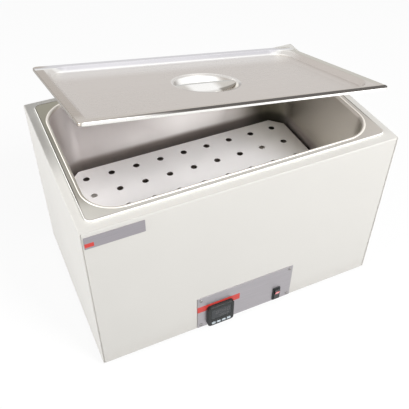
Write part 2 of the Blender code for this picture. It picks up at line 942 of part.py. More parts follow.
def make_heater():
    left = -heater_half_length
    level = tank_floor + heater_lift
    bottom = tank_under - heater_tail
    near = middle_y - heater_half_width
    far = middle_y + heater_half_width
    right = heater_half_length
    first, second = middle_y - heater_entry, middle_y + heater_entry
    corners = [(left, first, bottom), (left, first, level), (left, near, level), (right, near, level),
               (right, far, level), (left, far, level), (left, second, level), (left, second, bottom)]
    radius = min(heater_bend, heater_lift - gland_height - gap)
    tube_part("immersion_heater", bent_path(corners, radius), heater_radius, "steel")
    for number, (x, y) in enumerate(heater_places(), 1):
        turned_part("heater_gland_" + str(number), gland_profile(heater_radius + gap), "brass",
                    (x, y, 0), closed=True)
        bm = loft(nut_sections(gland_neck_radius + gap, (x, y)), close_profile=True)
        part_from(bm, "heater_nut_" + str(number), "brass")


def make_probe():
    place = (probe_x, middle_y + probe_y, 0)
    tip = tank_floor + probe_rise
    profile = [(0, tip), (probe_radius / 2, tip), (probe_radius, tip - probe_radius),
               (probe_radius, tank_under - probe_tail), (0, tank_under - probe_tail)]
    turned_part("temperature_probe", profile, "bright_steel", place, hole_steps)
    turned_part("probe_gland", gland_profile(probe_radius + gap), "brass", place, closed=True)
    bm = loft(nut_sections(gland_neck_radius + gap, place[:2]), close_profile=True)
    part_from(bm, "probe_nut", "brass")


# Stirrer and motor

def make_stirrer():
    place = (0, middle_y, 0)
    seat = tank_floor + gap
    shoulder = seat + pin_base_height
    low = shoulder + gap
    hub_top = low + impeller_hub_height
    pin_top = hub_top + gap + pin_cap_grip
    profile = [(0, pin_top), (pin_radius, pin_top), (pin_radius, shoulder), (pin_base_radius, shoulder),
               (pin_base_radius, seat), (0, seat)]
    turned_part("stirrer_pin", profile, "bright_steel", place)
    cap_low = hub_top + gap
    cap_top = cap_low + pin_cap_height
    profile = [(0, cap_top), (pin_cap_radius * chamfer_share, cap_top), (pin_cap_radius, cap_low),
               (pin_radius + gap, cap_low), (pin_radius + gap, pin_top + gap), (0, pin_top + gap)]
    turned_part("stirrer_cap", profile, "white_plastic", place, hole_steps)
    bore = pin_radius + gap
    disc_top = low + impeller_disc
    profile = [(bore, hub_top), (impeller_hub_radius, hub_top), (impeller_hub_radius, disc_top),
               (impeller_radius, disc_top), (impeller_radius, low), (bore, low)]
    impeller = turned_part("impeller", profile, "white_plastic", place, closed=True)
    start = impeller_hub_radius + blade_thickness
    for number in range(blade_count):
        bm = bmesh.new()
        add_box(bm, (start, -blade_thickness / 2, disc_top - blade_sink),
                (start + blade_length, blade_thickness / 2, disc_top + blade_height))
        blade = cutter_from(bm, "blade_" + str(number), place)
        blade.rotation_euler = (0, 0, 2 * math.pi * number / blade_count)
        cut(impeller, blade, "UNION")


def make_motor():
    place = (0, middle_y, 0)
    magnet_top = magnet_low + magnet_height
    hub_low = magnet_low - magnet_hub_height
    bore = shaft_radius + gap
    profile = [(0, magnet_top), (magnet_radius, magnet_top), (magnet_radius, magnet_low),
               (magnet_hub_radius, magnet_low), (magnet_hub_radius, hub_low), (bore, hub_low),
               (bore, magnet_low + magnet_height / 2), (0, magnet_low + magnet_height / 2)]
    turned_part("drive_magnet", profile, "motor_paint", place, fine_steps)
    boss_top = hub_low - gap
    bell_top = boss_top - motor_boss_height
    can_top = bell_top - motor_bell_height
    shaft_low = boss_top - shaft_grip
    shaft_top = magnet_low + magnet_height / 2 - gap
    profile = [(0, shaft_top), (shaft_radius, shaft_top), (shaft_radius, shaft_low), (0, shaft_low)]
    turned_part("motor_shaft", profile, "bright_steel", place, hole_steps)
    profile = [(0, shaft_low - gap), (bore, shaft_low - gap), (bore, boss_top),
               (motor_boss_radius, boss_top), (motor_boss_radius, bell_top),
               (motor_bell_radius, bell_top), (motor_radius, can_top), (motor_radius, motor_low),
               (0, motor_low)]
    turned_part("motor", profile, "motor_paint", place, fine_steps)
    bracket_top = motor_low - gap
    foot_low = base_high + gap
    half = bracket_width / 2
    line = [(-half - bracket_foot, foot_low + bracket_sheet), (-half, foot_low + bracket_sheet),
            (-half, bracket_top), (half, bracket_top), (half, foot_low + bracket_sheet),
            (half + bracket_foot, foot_low + bracket_sheet)]
    bm = bmesh.new()
    near = middle_y - bracket_depth / 2
    verts = [bm.verts.new((x, near, z)) for x, z in line]
    edges = [bm.edges.new(pair) for pair in zip(verts, verts[1:])]
    swept = bmesh.ops.extrude_edge_only(bm, edges=edges)["geom"]
    moved = [piece for piece in swept if isinstance(piece, bmesh.types.BMVert)]
    bmesh.ops.translate(bm, verts=moved, vec=(0, bracket_depth, 0))
    bmesh.ops.recalc_face_normals(bm, faces=bm.faces)
    bm.normal_update()
    if max(bm.faces, key=lambda face: face.calc_center_median().z).normal.z < 0:
        bmesh.ops.reverse_faces(bm, faces=bm.faces)
    bracket = part_from(bm, "motor_bracket", "zinc")
    thicken(bracket, bracket_sheet)
    bm = bmesh.new()
    for spot in bracket_hole_places():
        add_cylinder(bm, panel_hole, foot_low - overrun, foot_low + 2 * overrun, spot, steps=hole_steps)
    cut(bracket, cutter_from(bm, "bracket_holes"))


def make_cutout():
    top = tank_under - gap
    cap_low = top - cutout_cap_height
    low = cap_low - cutout_height
    bm = bmesh.new()
    spot = (cutout_x, middle_y + cutout_y)
    add_cylinder(bm, cutout_radius, low, cap_low, spot)
    cutout = part_from(bm, "overheat_cutout", "black_plastic")
    bm = bmesh.new()
    add_cylinder(bm, cutout_cap_radius, cap_low - gap, top, spot)
    cut(cutout, cutter_from(bm, "cutout_cap"), "UNION")
    bm = bmesh.new()
    for side in (-1, 1):
        x = spot[0] + side * cutout_tab_spread
        add_box(bm, (x - cutout_tab_sheet / 2, spot[1] - cutout_tab_width / 2, low - cutout_tab_length),
                (x + cutout_tab_sheet / 2, spot[1] + cutout_tab_width / 2, low + gap))
    cut(cutout, cutter_from(bm, "cutout_tabs"), "UNION")


# Electrical pieces on the base

def make_relay():
    low = base_high + gap
    half = sink_width / 2
    plate_low = low + sink_fin_height
    plate_top = plate_low + sink_plate
    line = [(-half, plate_top), (-half, low)]
    pitch = (sink_width - sink_fin) / (sink_fin_count - 1)
    for number in range(sink_fin_count):
        x = -half + number * pitch
        if number:
            line += [(x, plate_low), (x, low)]
        line.append((x + sink_fin, low))
        if number < sink_fin_count - 1:
            line.append((x + sink_fin, plate_low))
    line.append((half, plate_top))
    item = flat_plate("relay_heat_sink", [line], sink_depth, "aluminium", (sink_x, sink_y, 0), upright=True)
    add_modifier(item, "WELD", merge_threshold=weld_distance)
    relay_low = plate_top + gap
    relay_top = relay_low + relay_height
    bm = bmesh.new()
    half_x = relay_width / 2
    half_y = relay_depth / 2
    add_box(bm, (sink_x - half_x, sink_y - half_y, relay_low),
            (sink_x + half_x, sink_y + half_y, relay_top))
    relay = part_from(bm, "solid_state_relay", "black_plastic")
    bm = bmesh.new()
    for side_x in (-1, 1):
        for side_y in (-1, 1):
            x = sink_x + side_x * relay_width / 4
            edge = sink_y + side_y * half_y
            low_y, high_y = sorted((edge + side_y * overrun, edge - side_y * relay_slot_depth))
            add_box(bm, (x - relay_slot_width / 2, low_y, relay_top - relay_slot_height),
                    (x + relay_slot_width / 2, high_y, relay_top + overrun))
    cut(relay, cutter_from(bm, "relay_slots"))


def make_terminal_block():
    low = base_high + gap
    top = low + block_height
    bm = bmesh.new()
    add_box(bm, (block_x - block_width / 2, block_y - block_depth / 2, low),
            (block_x + block_width / 2, block_y + block_depth / 2, top))
    block = part_from(bm, "terminal_block", "white_plastic")
    bm = bmesh.new()
    for way in range(block_ways):
        x = block_x + (way - (block_ways - 1) / 2) * block_width / block_ways
        add_cylinder(bm, block_way_radius, top - block_way_depth, top + overrun, (x, block_y),
                     steps=hole_steps)
    cut(block, cutter_from(bm, "block_ways"))


# Front panel fittings

def controller_z_world():
    return cabinet_bottom + controller_z


def switch_z_world():
    return cabinet_bottom + switch_z


def fascia_screw_places():
    half = fascia_width / 2 - fascia_screw_x
    low = fascia_low + fascia_screw_low
    high = fascia_low + fascia_height - fascia_screw_high
    return [(fascia_x + side * half, z) for side in (-1, 1) for z in (low, high)]


def make_fascia():
    middle = (fascia_x, fascia_low + fascia_height / 2)
    outlines = [rounded_outline(fascia_width, fascia_height, fascia_corner, plate_steps, middle)]
    hole = case_size + 2 * gap
    outlines.append(rounded_outline(hole, hole, gap, square_steps, (controller_x, controller_z_world())))
    outlines.append(rounded_outline(switch_body_width + 2 * gap, switch_body_height + 2 * gap, gap,
                                    square_steps, (switch_x, switch_z_world())))
    for spot in fascia_screw_places():
        outlines.append(circle_outline(small_hole, spot))
    flat_plate("fascia_plate", outlines, fascia_sheet, "aluminium",
               (0, (fascia_back + fascia_front) / 2, 0), upright=True)
    places = [(x, fascia_front - gap, z) for x, z in fascia_screw_places()]
    screw_set("fascia_screw", places, (0, -1, 0), "bright_steel")


def button_places():
    z = controller_z_world() - button_drop
    start = controller_x - (button_count - 1) / 2 * button_pitch
    return [(start + number * button_pitch, z) for number in range(button_count)]


def upright_prism(outline, front, back):
    bm = bmesh.new()
    add_prism(bm, outline, -back, -front)
    turn = Matrix.Rotation(quarter_turn, 4, "X")
    bmesh.ops.transform(bm, matrix=turn, verts=bm.verts)
    bmesh.ops.recalc_face_normals(bm, faces=bm.faces)
    return bm


def make_controller():
    z = controller_z_world()
    outline = rounded_outline(controller_size, controller_size, controller_corner, bezel_steps,
                              (controller_x, z))
    bm = upright_prism(outline, bezel_front, bezel_back)
    rim = []
    for edge in bm.edges:
        if max(vert.co.y for vert in edge.verts) < bezel_front + gap:
            rim.append(edge)
    bmesh.ops.bevel(bm, geom=rim, offset=controller_edge, segments=edge_segments, profile=round_profile,
                    affect="EDGES")
    case = part_from(bm, "controller_case", "black_plastic")
    bm = bmesh.new()
    half = case_size / 2
    add_box(bm, (controller_x - half, bezel_back - gap, z - half),
            (controller_x + half, bezel_back + case_length, z + half))
    cut(case, cutter_from(bm, "controller_body"), "UNION")
    window_z = z + window_rise
    outline = rounded_outline(window_width + 2 * gap, window_height + 2 * gap, window_corner, plate_steps,
                              (controller_x, window_z))
    cut(case, cutter_from(upright_prism(outline, bezel_front - overrun, bezel_front + window_recess),
                          "window_recess"))
    outline = rounded_outline(window_width, window_height, window_corner, plate_steps,
                              (controller_x, window_z))
    back = bezel_front + window_recess - gap
    part_from(upright_prism(outline, back - window_sheet, back), "controller_window", "dark_window")
    pocket_back = bezel_front + button_body + button_travel + gap
    for number, spot in enumerate(button_places(), 1):
        outline = rounded_outline(button_width + 2 * gap, button_height + 2 * gap, button_corner,
                                  plate_steps, spot)
        bm = upright_prism(outline, bezel_front - overrun, pocket_back)
        cut(case, cutter_from(bm, "button_pocket_" + str(number)))
        outline = rounded_outline(button_width, button_height, button_corner, plate_steps)
        bm = upright_prism(outline, -button_stand, button_body)
        button = part_from(bm, "controller_button_" + str(number), "grey_key")
        button.location = (spot[0], bezel_front, spot[1])
    clamp_front = front_y + sheet + gap
    outer = case_size + 2 * (gap + clamp_wall)
    outline = rounded_outline(outer, outer, window_corner, plate_steps, (controller_x, z))
    bm = upright_prism(outline, clamp_front, clamp_front + clamp_length)
    clamp = part_from(bm, "controller_clamp", "black_plastic")
    bm = bmesh.new()
    hole = half + gap
    add_box(bm, (controller_x - hole, clamp_front - overrun, z - hole),
            (controller_x + hole, clamp_front + clamp_length + overrun, z + hole))
    cut(clamp, cutter_from(bm, "clamp_hole"))


def rocker_outline():
    front = [(-rocker_half, -rocker_tip), (0, -rocker_middle), (rocker_half, -rocker_tip)]
    back = [(rocker_half, rocker_depth / 2), (rocker_keel_half, rocker_keel),
            (-rocker_keel_half, rocker_keel), (-rocker_half, rocker_depth / 2)]
    return front + back


def lens_outline():
    slope = (rocker_tip - rocker_middle) / rocker_half
    start = (rocker_half - lens_length) / 2
    lift = lens_sheet - lens_sink
    points = []
    for along, depth in ((start, -lift), (start + lens_length, -lift),
                         (start + lens_length, lens_sink), (start, lens_sink)):
        points.append((along, depth - rocker_middle - slope * along))
    return points


def side_prism(outline, half_width):
    # The outline is given as height and depth, and is spread along X.
    bm = bmesh.new()
    add_prism(bm, outline, -half_width, half_width)
    turn = Matrix(((0, 0, 1, 0), (0, 1, 0, 0), (1, 0, 0, 0), (0, 0, 0, 1)))
    bmesh.ops.transform(bm, matrix=turn, verts=bm.verts)
    bmesh.ops.recalc_face_normals(bm, faces=bm.faces)
    return bm


def make_switch():
    z = switch_z_world()
    flange_front = fascia_front - gap - switch_flange
    flange_back = fascia_front - gap
    outline = rounded_outline(switch_width, switch_height, switch_corner, slot_steps, (switch_x, z))
    housing = part_from(upright_prism(outline, flange_front, flange_back), "switch_housing", "black_plastic")
    bm = bmesh.new()
    half_x = switch_body_width / 2
    half_z = switch_body_height / 2
    add_box(bm, (switch_x - half_x, flange_back - gap, z - half_z),
            (switch_x + half_x, flange_back + switch_body_depth, z + half_z))
    cut(housing, cutter_from(bm, "switch_body"), "UNION")
    bm = bmesh.new()
    half_x = rocker_width / 2 + gap
    half_z = rocker_half + rocker_clearance
    add_box(bm, (switch_x - half_x, flange_front - overrun, z - half_z),
            (switch_x + half_x, flange_front + rocker_keel + 2 * rocker_clearance, z + half_z))
    cut(housing, cutter_from(bm, "rocker_pocket"))
    pivot = bpy.data.objects.new("rocker_pivot", None)
    parts.objects.link(pivot)
    pivot.location = (switch_x, flange_front, z)
    pivot.rotation_euler = (rocker_tilt, 0, 0)
    rocker = part_from(side_prism(rocker_outline(), rocker_width / 2), "switch_rocker", "black_plastic")
    rocker.parent = pivot
    lens = part_from(side_prism(lens_outline(), lens_width / 2), "rocker_lens", "red_lens")
    lens.parent = pivot
    front_low, front_high, back_high, back_low = lens_outline()
    pocket = [(front_low[0] - gap, front_low[1] - overrun), (front_high[0] + gap, front_high[1] - overrun),
              (back_high[0] + gap, back_high[1] + gap), (back_low[0] - gap, back_low[1] + gap)]
    cutter = cutter_from(side_prism(pocket, lens_width / 2 + gap), "lens_pocket")
    cutter.parent = pivot
    cut(rocker, cutter)


def make_name_plate():
    x = -cabinet_width / 2 + name_left + name_width / 2
    z = cabinet_top - name_top - name_height / 2
    outline = rounded_outline(name_width, name_height, name_corner, plate_steps, (x, z))
    flat_plate("name_plate", [outline], name_sheet, "aluminium",
               (0, front_y - gap - name_sheet / 2, 0), upright=True)


# Rear inlet

def make_inlet():
    front = back_y + gap
    outline = rounded_outline(inlet_width, inlet_height, inlet_corner, slot_steps, (inlet_x, inlet_z))
    housing = part_from(upright_prism(outline, front, front + inlet_flange), "inlet_housing", "black_plastic")
    bm = bmesh.new()
    half_x = inlet_body_width / 2
    half_z = inlet_body_height / 2
    add_box(bm, (inlet_x - half_x, front - inlet_body_depth, inlet_z - half_z),
            (inlet_x + half_x, front + gap, inlet_z + half_z))
    cut(housing, cutter_from(bm, "inlet_body"), "UNION")
    mouth = front + inlet_flange
    socket_z = inlet_z + socket_rise
    half_x = socket_width / 2
    half_z = socket_height / 2
    outline = [(inlet_x - half_x, socket_z - half_z), (inlet_x + half_x, socket_z - half_z),
               (inlet_x + half_x, socket_z + half_z - socket_cut),
               (inlet_x + half_x - socket_cut, socket_z + half_z),
               (inlet_x - half_x + socket_cut, socket_z + half_z),
               (inlet_x - half_x, socket_z + half_z - socket_cut)]
    cut(housing, cutter_from(upright_prism(outline, mouth - socket_depth, mouth + overrun), "socket"))
    drawer_z = inlet_z - drawer_drop
    half_x = drawer_width / 2
    half_z = drawer_height / 2
    bm = bmesh.new()
    add_box(bm, (inlet_x - half_x - gap, mouth - drawer_length - gap, drawer_z - half_z - gap),
            (inlet_x + half_x + gap, mouth + overrun, drawer_z + half_z + gap))
    cut(housing, cutter_from(bm, "drawer_pocket"))
    bm = bmesh.new()
    for side in (-1, 1):
        spot = (inlet_x + side * inlet_screw_spacing / 2, inlet_z)
        add_cylinder(bm, small_hole, front - overrun, mouth + overrun, spot, "Y", hole_steps)
    cut(housing, cutter_from(bm, "inlet_holes"))
    bm = bmesh.new()
    add_box(bm, (inlet_x - half_x, mouth - drawer_length, drawer_z - half_z),
            (inlet_x + half_x, mouth, drawer_z + half_z))
    drawer = part_from(bm, "fuse_drawer", "black_plastic")
    bm = bmesh.new()
    add_box(bm, (inlet_x - half_x / 2, mouth - drawer_lip, drawer_z + half_z - drawer_lip - drawer_lip_width),
            (inlet_x + half_x / 2, mouth + overrun, drawer_z + half_z - drawer_lip))
    cut(drawer, cutter_from(bm, "drawer_groove"))
    floor_y = mouth - socket_depth + gap
    for number, (side, rise) in enumerate(((-1, -1), (0, 1), (1, -1)), 1):
        bm = bmesh.new()
        x = inlet_x + side * pin_blade_spread
        z = socket_z + rise * pin_blade_rise
        add_box(bm, (x - pin_blade_sheet / 2, floor_y, z - pin_blade_width / 2),
                (x + pin_blade_sheet / 2, floor_y + pin_blade_length - gap, z + pin_blade_width / 2))
        part_from(bm, "inlet_pin_" + str(number), "brass")
    places = []
    for side in (-1, 1):
        places.append((inlet_x + side * inlet_screw_spacing / 2, mouth + gap, inlet_z))
    screw_set("inlet_screw", places, (0, 1, 0), "zinc")


# Lid

def lid_pivot_place():
    along = Vector((math.cos(lid_axis_angle), math.sin(lid_axis_angle), 0))
    outward = Vector((along.y, -along.x, 0))
    corner = Vector((lid_length / 2 - lid_corner, middle_y + lid_width / 2 - lid_corner, rim_top + gap))
    return corner + outward * lid_corner, along


def lid_outline(inset, radius):
    return rounded_outline(lid_length - 2 * inset, lid_width - 2 * inset, radius)


def lid_sections():
    top = lid_skirt
    panel = top - lid_riser_drop
    border = lid_border
    foot = border + lid_riser_run
    half_round = lid_panel_round / 2
    sections = [
        (lid_outline(0, lid_corner), 0),
        (lid_outline(0, lid_corner), top - lid_round),
        (lid_outline(lid_round, lid_corner - lid_round), top),
        (lid_outline(border - half_round, lid_panel_corner + half_round), top),
        (lid_outline(border + half_round, lid_panel_corner - half_round), top - half_round),
        (lid_outline(foot - half_round, lid_panel_corner - lid_riser_run), panel + half_round),
        (lid_outline(foot + lid_panel_round, lid_panel_corner - foot / 2), panel),
        (ring_outline(dish_radius), panel),
    ]
    for reach, depth in dish_shares:
        sections.append((ring_outline(dish_radius * reach), panel - dish_depth * depth))
    return sections


def make_lid():
    place, along = lid_pivot_place()
    pivot = bpy.data.objects.new("lid_pivot", None)
    parts.objects.link(pivot)
    pivot.rotation_mode = "QUATERNION"
    pivot.location = place
    pivot.rotation_quaternion = Matrix.Rotation(lid_open_angle, 3, along).to_quaternion()
    closed = Vector((0, middle_y, rim_top + gap)) - place
    bm = loft(lid_sections(), cap_last=True)
    face_up(bm)
    lid = part_from(bm, "lid", "bright_steel", closed)
    thicken(lid, lid_sheet)
    lid.parent = pivot
    bm = bmesh.new()
    bmesh.ops.create_grid(bm, x_segments=strap_columns, y_segments=strap_rows, size=1)
    panel = lid_skirt - lid_riser_drop
    span = strap_length / 2
    for vert in bm.verts:
        along_share, across_share = vert.co.x, vert.co.y
        x = along_share * span
        swell = max(0, math.cos(quarter_turn * min(1, abs(x) / (span - strap_land))))
        half_width = strap_end_width / 2 + (strap_middle_width - strap_end_width) / 2 * swell
        rise = strap_rise * math.sqrt(swell) - strap_crown * swell * across_share ** 2
        vert.co = (x, across_share * half_width, panel + gap + strap_sheet + max(0, rise))
    strap = part_from(bm, "lid_strap", "bright_steel", closed)
    thicken(strap, strap_sheet)
    strap.parent = pivot


make_wrapper()
make_front_panel()
make_rear_panel()
make_base_plate()
make_feet()
make_tank()
make_gasket()
make_insulation()
make_shelf()
make_heater()
make_probe()
make_stirrer()
make_motor()
make_cutout()
make_relay()
make_terminal_block()
make_fascia()
make_controller()
make_switch()
make_name_plate()
make_inlet()
make_lid()
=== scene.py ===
# Looks of a circulating water bath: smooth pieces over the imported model, and a finish for each.
# Lengths are metres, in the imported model's own places.
import math

import bmesh
import bpy
from mathutils import Matrix, Vector


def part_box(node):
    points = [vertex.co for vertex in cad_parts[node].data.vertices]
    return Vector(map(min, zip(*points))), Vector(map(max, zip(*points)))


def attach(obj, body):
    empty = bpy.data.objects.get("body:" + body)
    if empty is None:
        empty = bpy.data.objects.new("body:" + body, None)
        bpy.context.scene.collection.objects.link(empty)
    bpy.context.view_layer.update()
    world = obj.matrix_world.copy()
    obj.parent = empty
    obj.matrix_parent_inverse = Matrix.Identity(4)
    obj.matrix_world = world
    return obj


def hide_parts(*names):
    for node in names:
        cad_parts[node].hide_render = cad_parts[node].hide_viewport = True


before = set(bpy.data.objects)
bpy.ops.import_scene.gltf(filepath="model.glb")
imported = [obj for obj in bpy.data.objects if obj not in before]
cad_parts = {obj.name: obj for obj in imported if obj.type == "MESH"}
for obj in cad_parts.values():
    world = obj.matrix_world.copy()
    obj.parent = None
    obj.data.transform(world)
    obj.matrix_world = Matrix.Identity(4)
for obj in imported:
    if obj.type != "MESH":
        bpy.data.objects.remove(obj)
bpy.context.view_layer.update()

print("water bath: frame loaded,", len(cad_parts), "nodes")

middleY = 0.00285  # the tank's middle, front to back
thinGap = 0.0003  # between pieces that slide, turn or drop in
overrun = 0.004  # how far a cutter stands past what it cuts
nearly = 0.0001  # how close an edge has to be to a plane to lie on it
mergeGap = 0.00001  # how close two vertices have to be to be one
alongY, alongZ = 1, 2  # the numbers of two axes


# Small helpers for edit mode

def deselectAll():
    if bpy.context.mode != "OBJECT":
        bpy.ops.object.mode_set(mode="OBJECT")
    bpy.ops.object.select_all(action="DESELECT")


def useOnly(piece):
    deselectAll()
    piece.select_set(True)
    bpy.context.view_layer.objects.active = piece


def applyPlace(piece):
    useOnly(piece)
    bpy.ops.object.transform_apply(location=True, rotation=True, scale=True)


def nameIt(piece, name):
    piece.name = name
    piece.data.name = name
    return piece


def startEditing(piece):
    useOnly(piece)
    bpy.ops.object.mode_set(mode="EDIT")
    bpy.ops.mesh.select_all(action="DESELECT")


def stopEditing():
    bpy.ops.object.mode_set(mode="OBJECT")


def choose(kind, test):
    # selects vertices by place, edges by middle and direction, or faces by middle and normal
    bpy.ops.mesh.select_mode(type=kind)
    bpy.ops.mesh.select_all(action="DESELECT")
    mesh = bmesh.from_edit_mesh(bpy.context.edit_object.data)
    if kind == "VERT":
        chosen = [vert for vert in mesh.verts if test(vert.co)]
    elif kind == "EDGE":
        chosen = []
        for edge in mesh.edges:
            start, end = (vert.co for vert in edge.verts)
            if test((start + end) / 2, (end - start).normalized()):
                chosen.append(edge)
    else:
        mesh.normal_update()
        chosen = [face for face in mesh.faces if test(face.calc_center_median(), face.normal)]
    for item in chosen:
        item.select_set(True)
    mesh.select_flush_mode()
    bmesh.update_edit_mesh(bpy.context.edit_object.data)


def roundChosen(width, steps):
    bpy.ops.mesh.bevel(offset=width, offset_type="OFFSET", segments=steps, profile=0.5, affect="EDGES")


def addBlock(name, low, high):
    deselectAll()
    low, high = Vector(low), Vector(high)
    bpy.ops.mesh.primitive_cube_add(size=1, location=(low + high) / 2, scale=high - low)
    piece = nameIt(bpy.context.object, name)
    applyPlace(piece)
    return piece


def addSoftBlock(name, low, high, axis, corner, steps):
    # a block whose four edges along one axis are rounded
    piece = addBlock(name, low, high)
    startEditing(piece)
    choose("EDGE", lambda middle, way: abs(way[axis]) > 0.9)
    roundChosen(corner, steps)
    stopEditing()
    return piece


def addModifier(piece, kind, **settings):
    useOnly(piece)
    modifier = piece.modifiers.new("shape", kind)
    for key, value in settings.items():
        setattr(modifier, key, value)
    bpy.ops.object.modifier_apply(modifier=modifier.name)


def joinPieces(pieces):
    deselectAll()
    for piece in pieces:
        piece.select_set(True)
    bpy.context.view_layer.objects.active = pieces[0]
    if len(pieces) > 1:
        bpy.ops.object.join()
    return pieces[0]


def carve(piece, cutters):
    cutter = joinPieces(cutters)
    addModifier(piece, "BOOLEAN", object=cutter, operation="DIFFERENCE", solver="EXACT")
    bpy.data.objects.remove(cutter)


def copyPiece(piece, name):
    useOnly(piece)
    bpy.ops.object.duplicate(linked=False)
    return nameIt(bpy.context.object, name)


def setOut(piece, places):
    # takes (name, place) pairs: a piece modelled at the origin goes to the first, copies to the others
    pieces = [nameIt(piece, places[0][0])] + [copyPiece(piece, name) for name, place in places[1:]]
    for twin, (name, place) in zip(pieces, places):
        twin.location = place
        applyPlace(twin)
    return pieces


def softenEdges(piece, width, steps, angle):
    addModifier(piece, "BEVEL", width=width, segments=steps, limit_method="ANGLE",
                angle_limit=math.radians(angle), use_clamp_overlap=True)


def shadeSmooth(piece, angle=35):
    useOnly(piece)
    bpy.ops.object.shade_smooth_by_angle(angle=math.radians(angle))
    addModifier(piece, "WEIGHTED_NORMAL", keep_sharp=True, weight=80)


def fixNormals(piece):
    startEditing(piece)
    bpy.ops.mesh.select_all(action="SELECT")
    bpy.ops.mesh.remove_doubles(threshold=mergeGap)
    bpy.ops.mesh.normals_make_consistent(inside=False)
    stopEditing()


def fitPiece(piece, body, slotName, finish, *nodes):
    piece.data.materials.clear()
    piece.data.materials.append(finish)
    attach(piece, body)
    if nodes:
        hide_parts(*nodes)
    return piece


def addTurned(name, profile, steps=32):
    # a disc drawn out through a list of (radius, height)
    deselectAll()
    radius, height = profile[0]
    bpy.ops.mesh.primitive_circle_add(vertices=steps, radius=radius, fill_type="NGON",
                                      location=(0, 0, height))
    piece = nameIt(bpy.context.object, name)
    applyPlace(piece)
    startEditing(piece)
    bpy.ops.mesh.select_mode(type="FACE")
    bpy.ops.mesh.select_all(action="SELECT")
    for nextRadius, nextHeight in profile[1:]:
        bpy.ops.mesh.extrude_region_move(TRANSFORM_OT_translate={"value": (0, 0, nextHeight - height)})
        share = nextRadius / radius
        bpy.ops.transform.resize(value=(share, share, 1), center_override=(0, 0, nextHeight))
        radius, height = nextRadius, nextHeight
    stopEditing()
    fixNormals(piece)
    return piece


# Skins made of rings that are bridged one to the next

ringSpacing = 0.03  # how far apart the rings stand while they are bridged


def addRing(length, width, corner, steps):
    deselectAll()
    bpy.ops.mesh.primitive_plane_add(size=1, location=(0, 0, 0))
    ring = bpy.context.object
    ring.scale = (length, width, 1)
    applyPlace(ring)
    bpy.ops.object.mode_set(mode="EDIT")
    bpy.ops.mesh.select_mode(type="VERT")
    bpy.ops.mesh.select_all(action="SELECT")
    bpy.ops.mesh.bevel(offset=corner, offset_type="OFFSET", segments=steps, profile=0.5, affect="VERTICES")
    bpy.ops.mesh.select_all(action="SELECT")
    bpy.ops.mesh.delete(type="ONLY_FACE")
    stopEditing()
    return ring


def addRoundRing(radius, steps):
    deselectAll()
    count = 4 * (steps + 1)
    bpy.ops.mesh.primitive_circle_add(vertices=count, radius=radius, location=(0, 0, 0),
                                      rotation=(0, 0, math.pi / count))
    applyPlace(bpy.context.object)
    return bpy.context.object


def bridgeRings(name, rings):
    # takes (ring, height) pairs: joins rings that stand well apart, then sets each at its height
    for number, (ring, height) in enumerate(rings):
        ring.location.z = number * ringSpacing
        applyPlace(ring)
        group = ring.vertex_groups.new(name="ring" + str(number))
        group.add(range(len(ring.data.vertices)), 1, "REPLACE")
    skin = nameIt(joinPieces([ring for ring, height in rings]), name)
    startEditing(skin)
    bpy.ops.mesh.select_mode(type="VERT")
    for number in range(len(rings) - 1):
        bpy.ops.mesh.select_all(action="DESELECT")
        for step in (number, number + 1):
            skin.vertex_groups.active_index = skin.vertex_groups["ring" + str(step)].index
            bpy.ops.object.vertex_group_select()
        bpy.ops.mesh.bridge_edge_loops()
    for number, (ring, height) in enumerate(rings):
        bpy.ops.mesh.select_all(action="DESELECT")
        skin.vertex_groups.active_index = skin.vertex_groups["ring" + str(number)].index
        bpy.ops.object.vertex_group_select()
        bpy.ops.transform.translate(value=(0, 0, height - number * ringSpacing))
    bpy.ops.mesh.edge_face_add()
    bpy.ops.mesh.select_all(action="SELECT")
    bpy.ops.mesh.normals_make_consistent(inside=False)
    stopEditing()
    bpy.ops.object.vertex_group_remove(all=True)
    return skin


def faceUpward(skin):
    # the skin's last, level face has to look up
    last = max(skin.data.polygons, key=lambda face: face.area * abs(face.normal.z))
    if last.normal.z < 0:
        startEditing(skin)
        bpy.ops.mesh.select_all(action="SELECT")
        bpy.ops.mesh.flip_normals()
        stopEditing()


def softenPath(points, radii, steps):
    # rounds the corners of a path of (inset, height) points
    path = [tuple(points[0])]
    for before, corner, after, radius in zip(points, points[1:], points[2:], radii):
        corner = Vector(corner)
        back = (Vector(before) - corner).normalized()
        ahead = (Vector(after) - corner).normalized()
        turn = math.pi - back.angle(ahead)
        reach = radius * math.tan(turn / 2)
        centre = corner + (back + ahead).normalized() * radius / math.cos(turn / 2)
        first = corner + back * reach - centre
        start = math.atan2(first.y, first.x)
        finish = corner + ahead * reach - centre
        sweep = math.atan2(finish.y, finish.x) - start
        sweep = (sweep + math.pi) % (2 * math.pi) - math.pi
        for step in range(steps + 1):
            angle = start + sweep * step / steps
            path.append((centre.x + radius * math.cos(angle), centre.y + radius * math.sin(angle)))
    path.append(tuple(points[-1]))
    return path


def readTable(table, place):
    # a value between the rows of a table of (place, value)
    if place <= table[0][0]:
        return table[0][1]
    for (first, low), (second, high) in zip(table, table[1:]):
        if place <= second:
            return low + (high - low) * (place - first) / (second - first)
    return table[-1][1]


# Finishes: a wrapper for sockets, so that masks read as sums

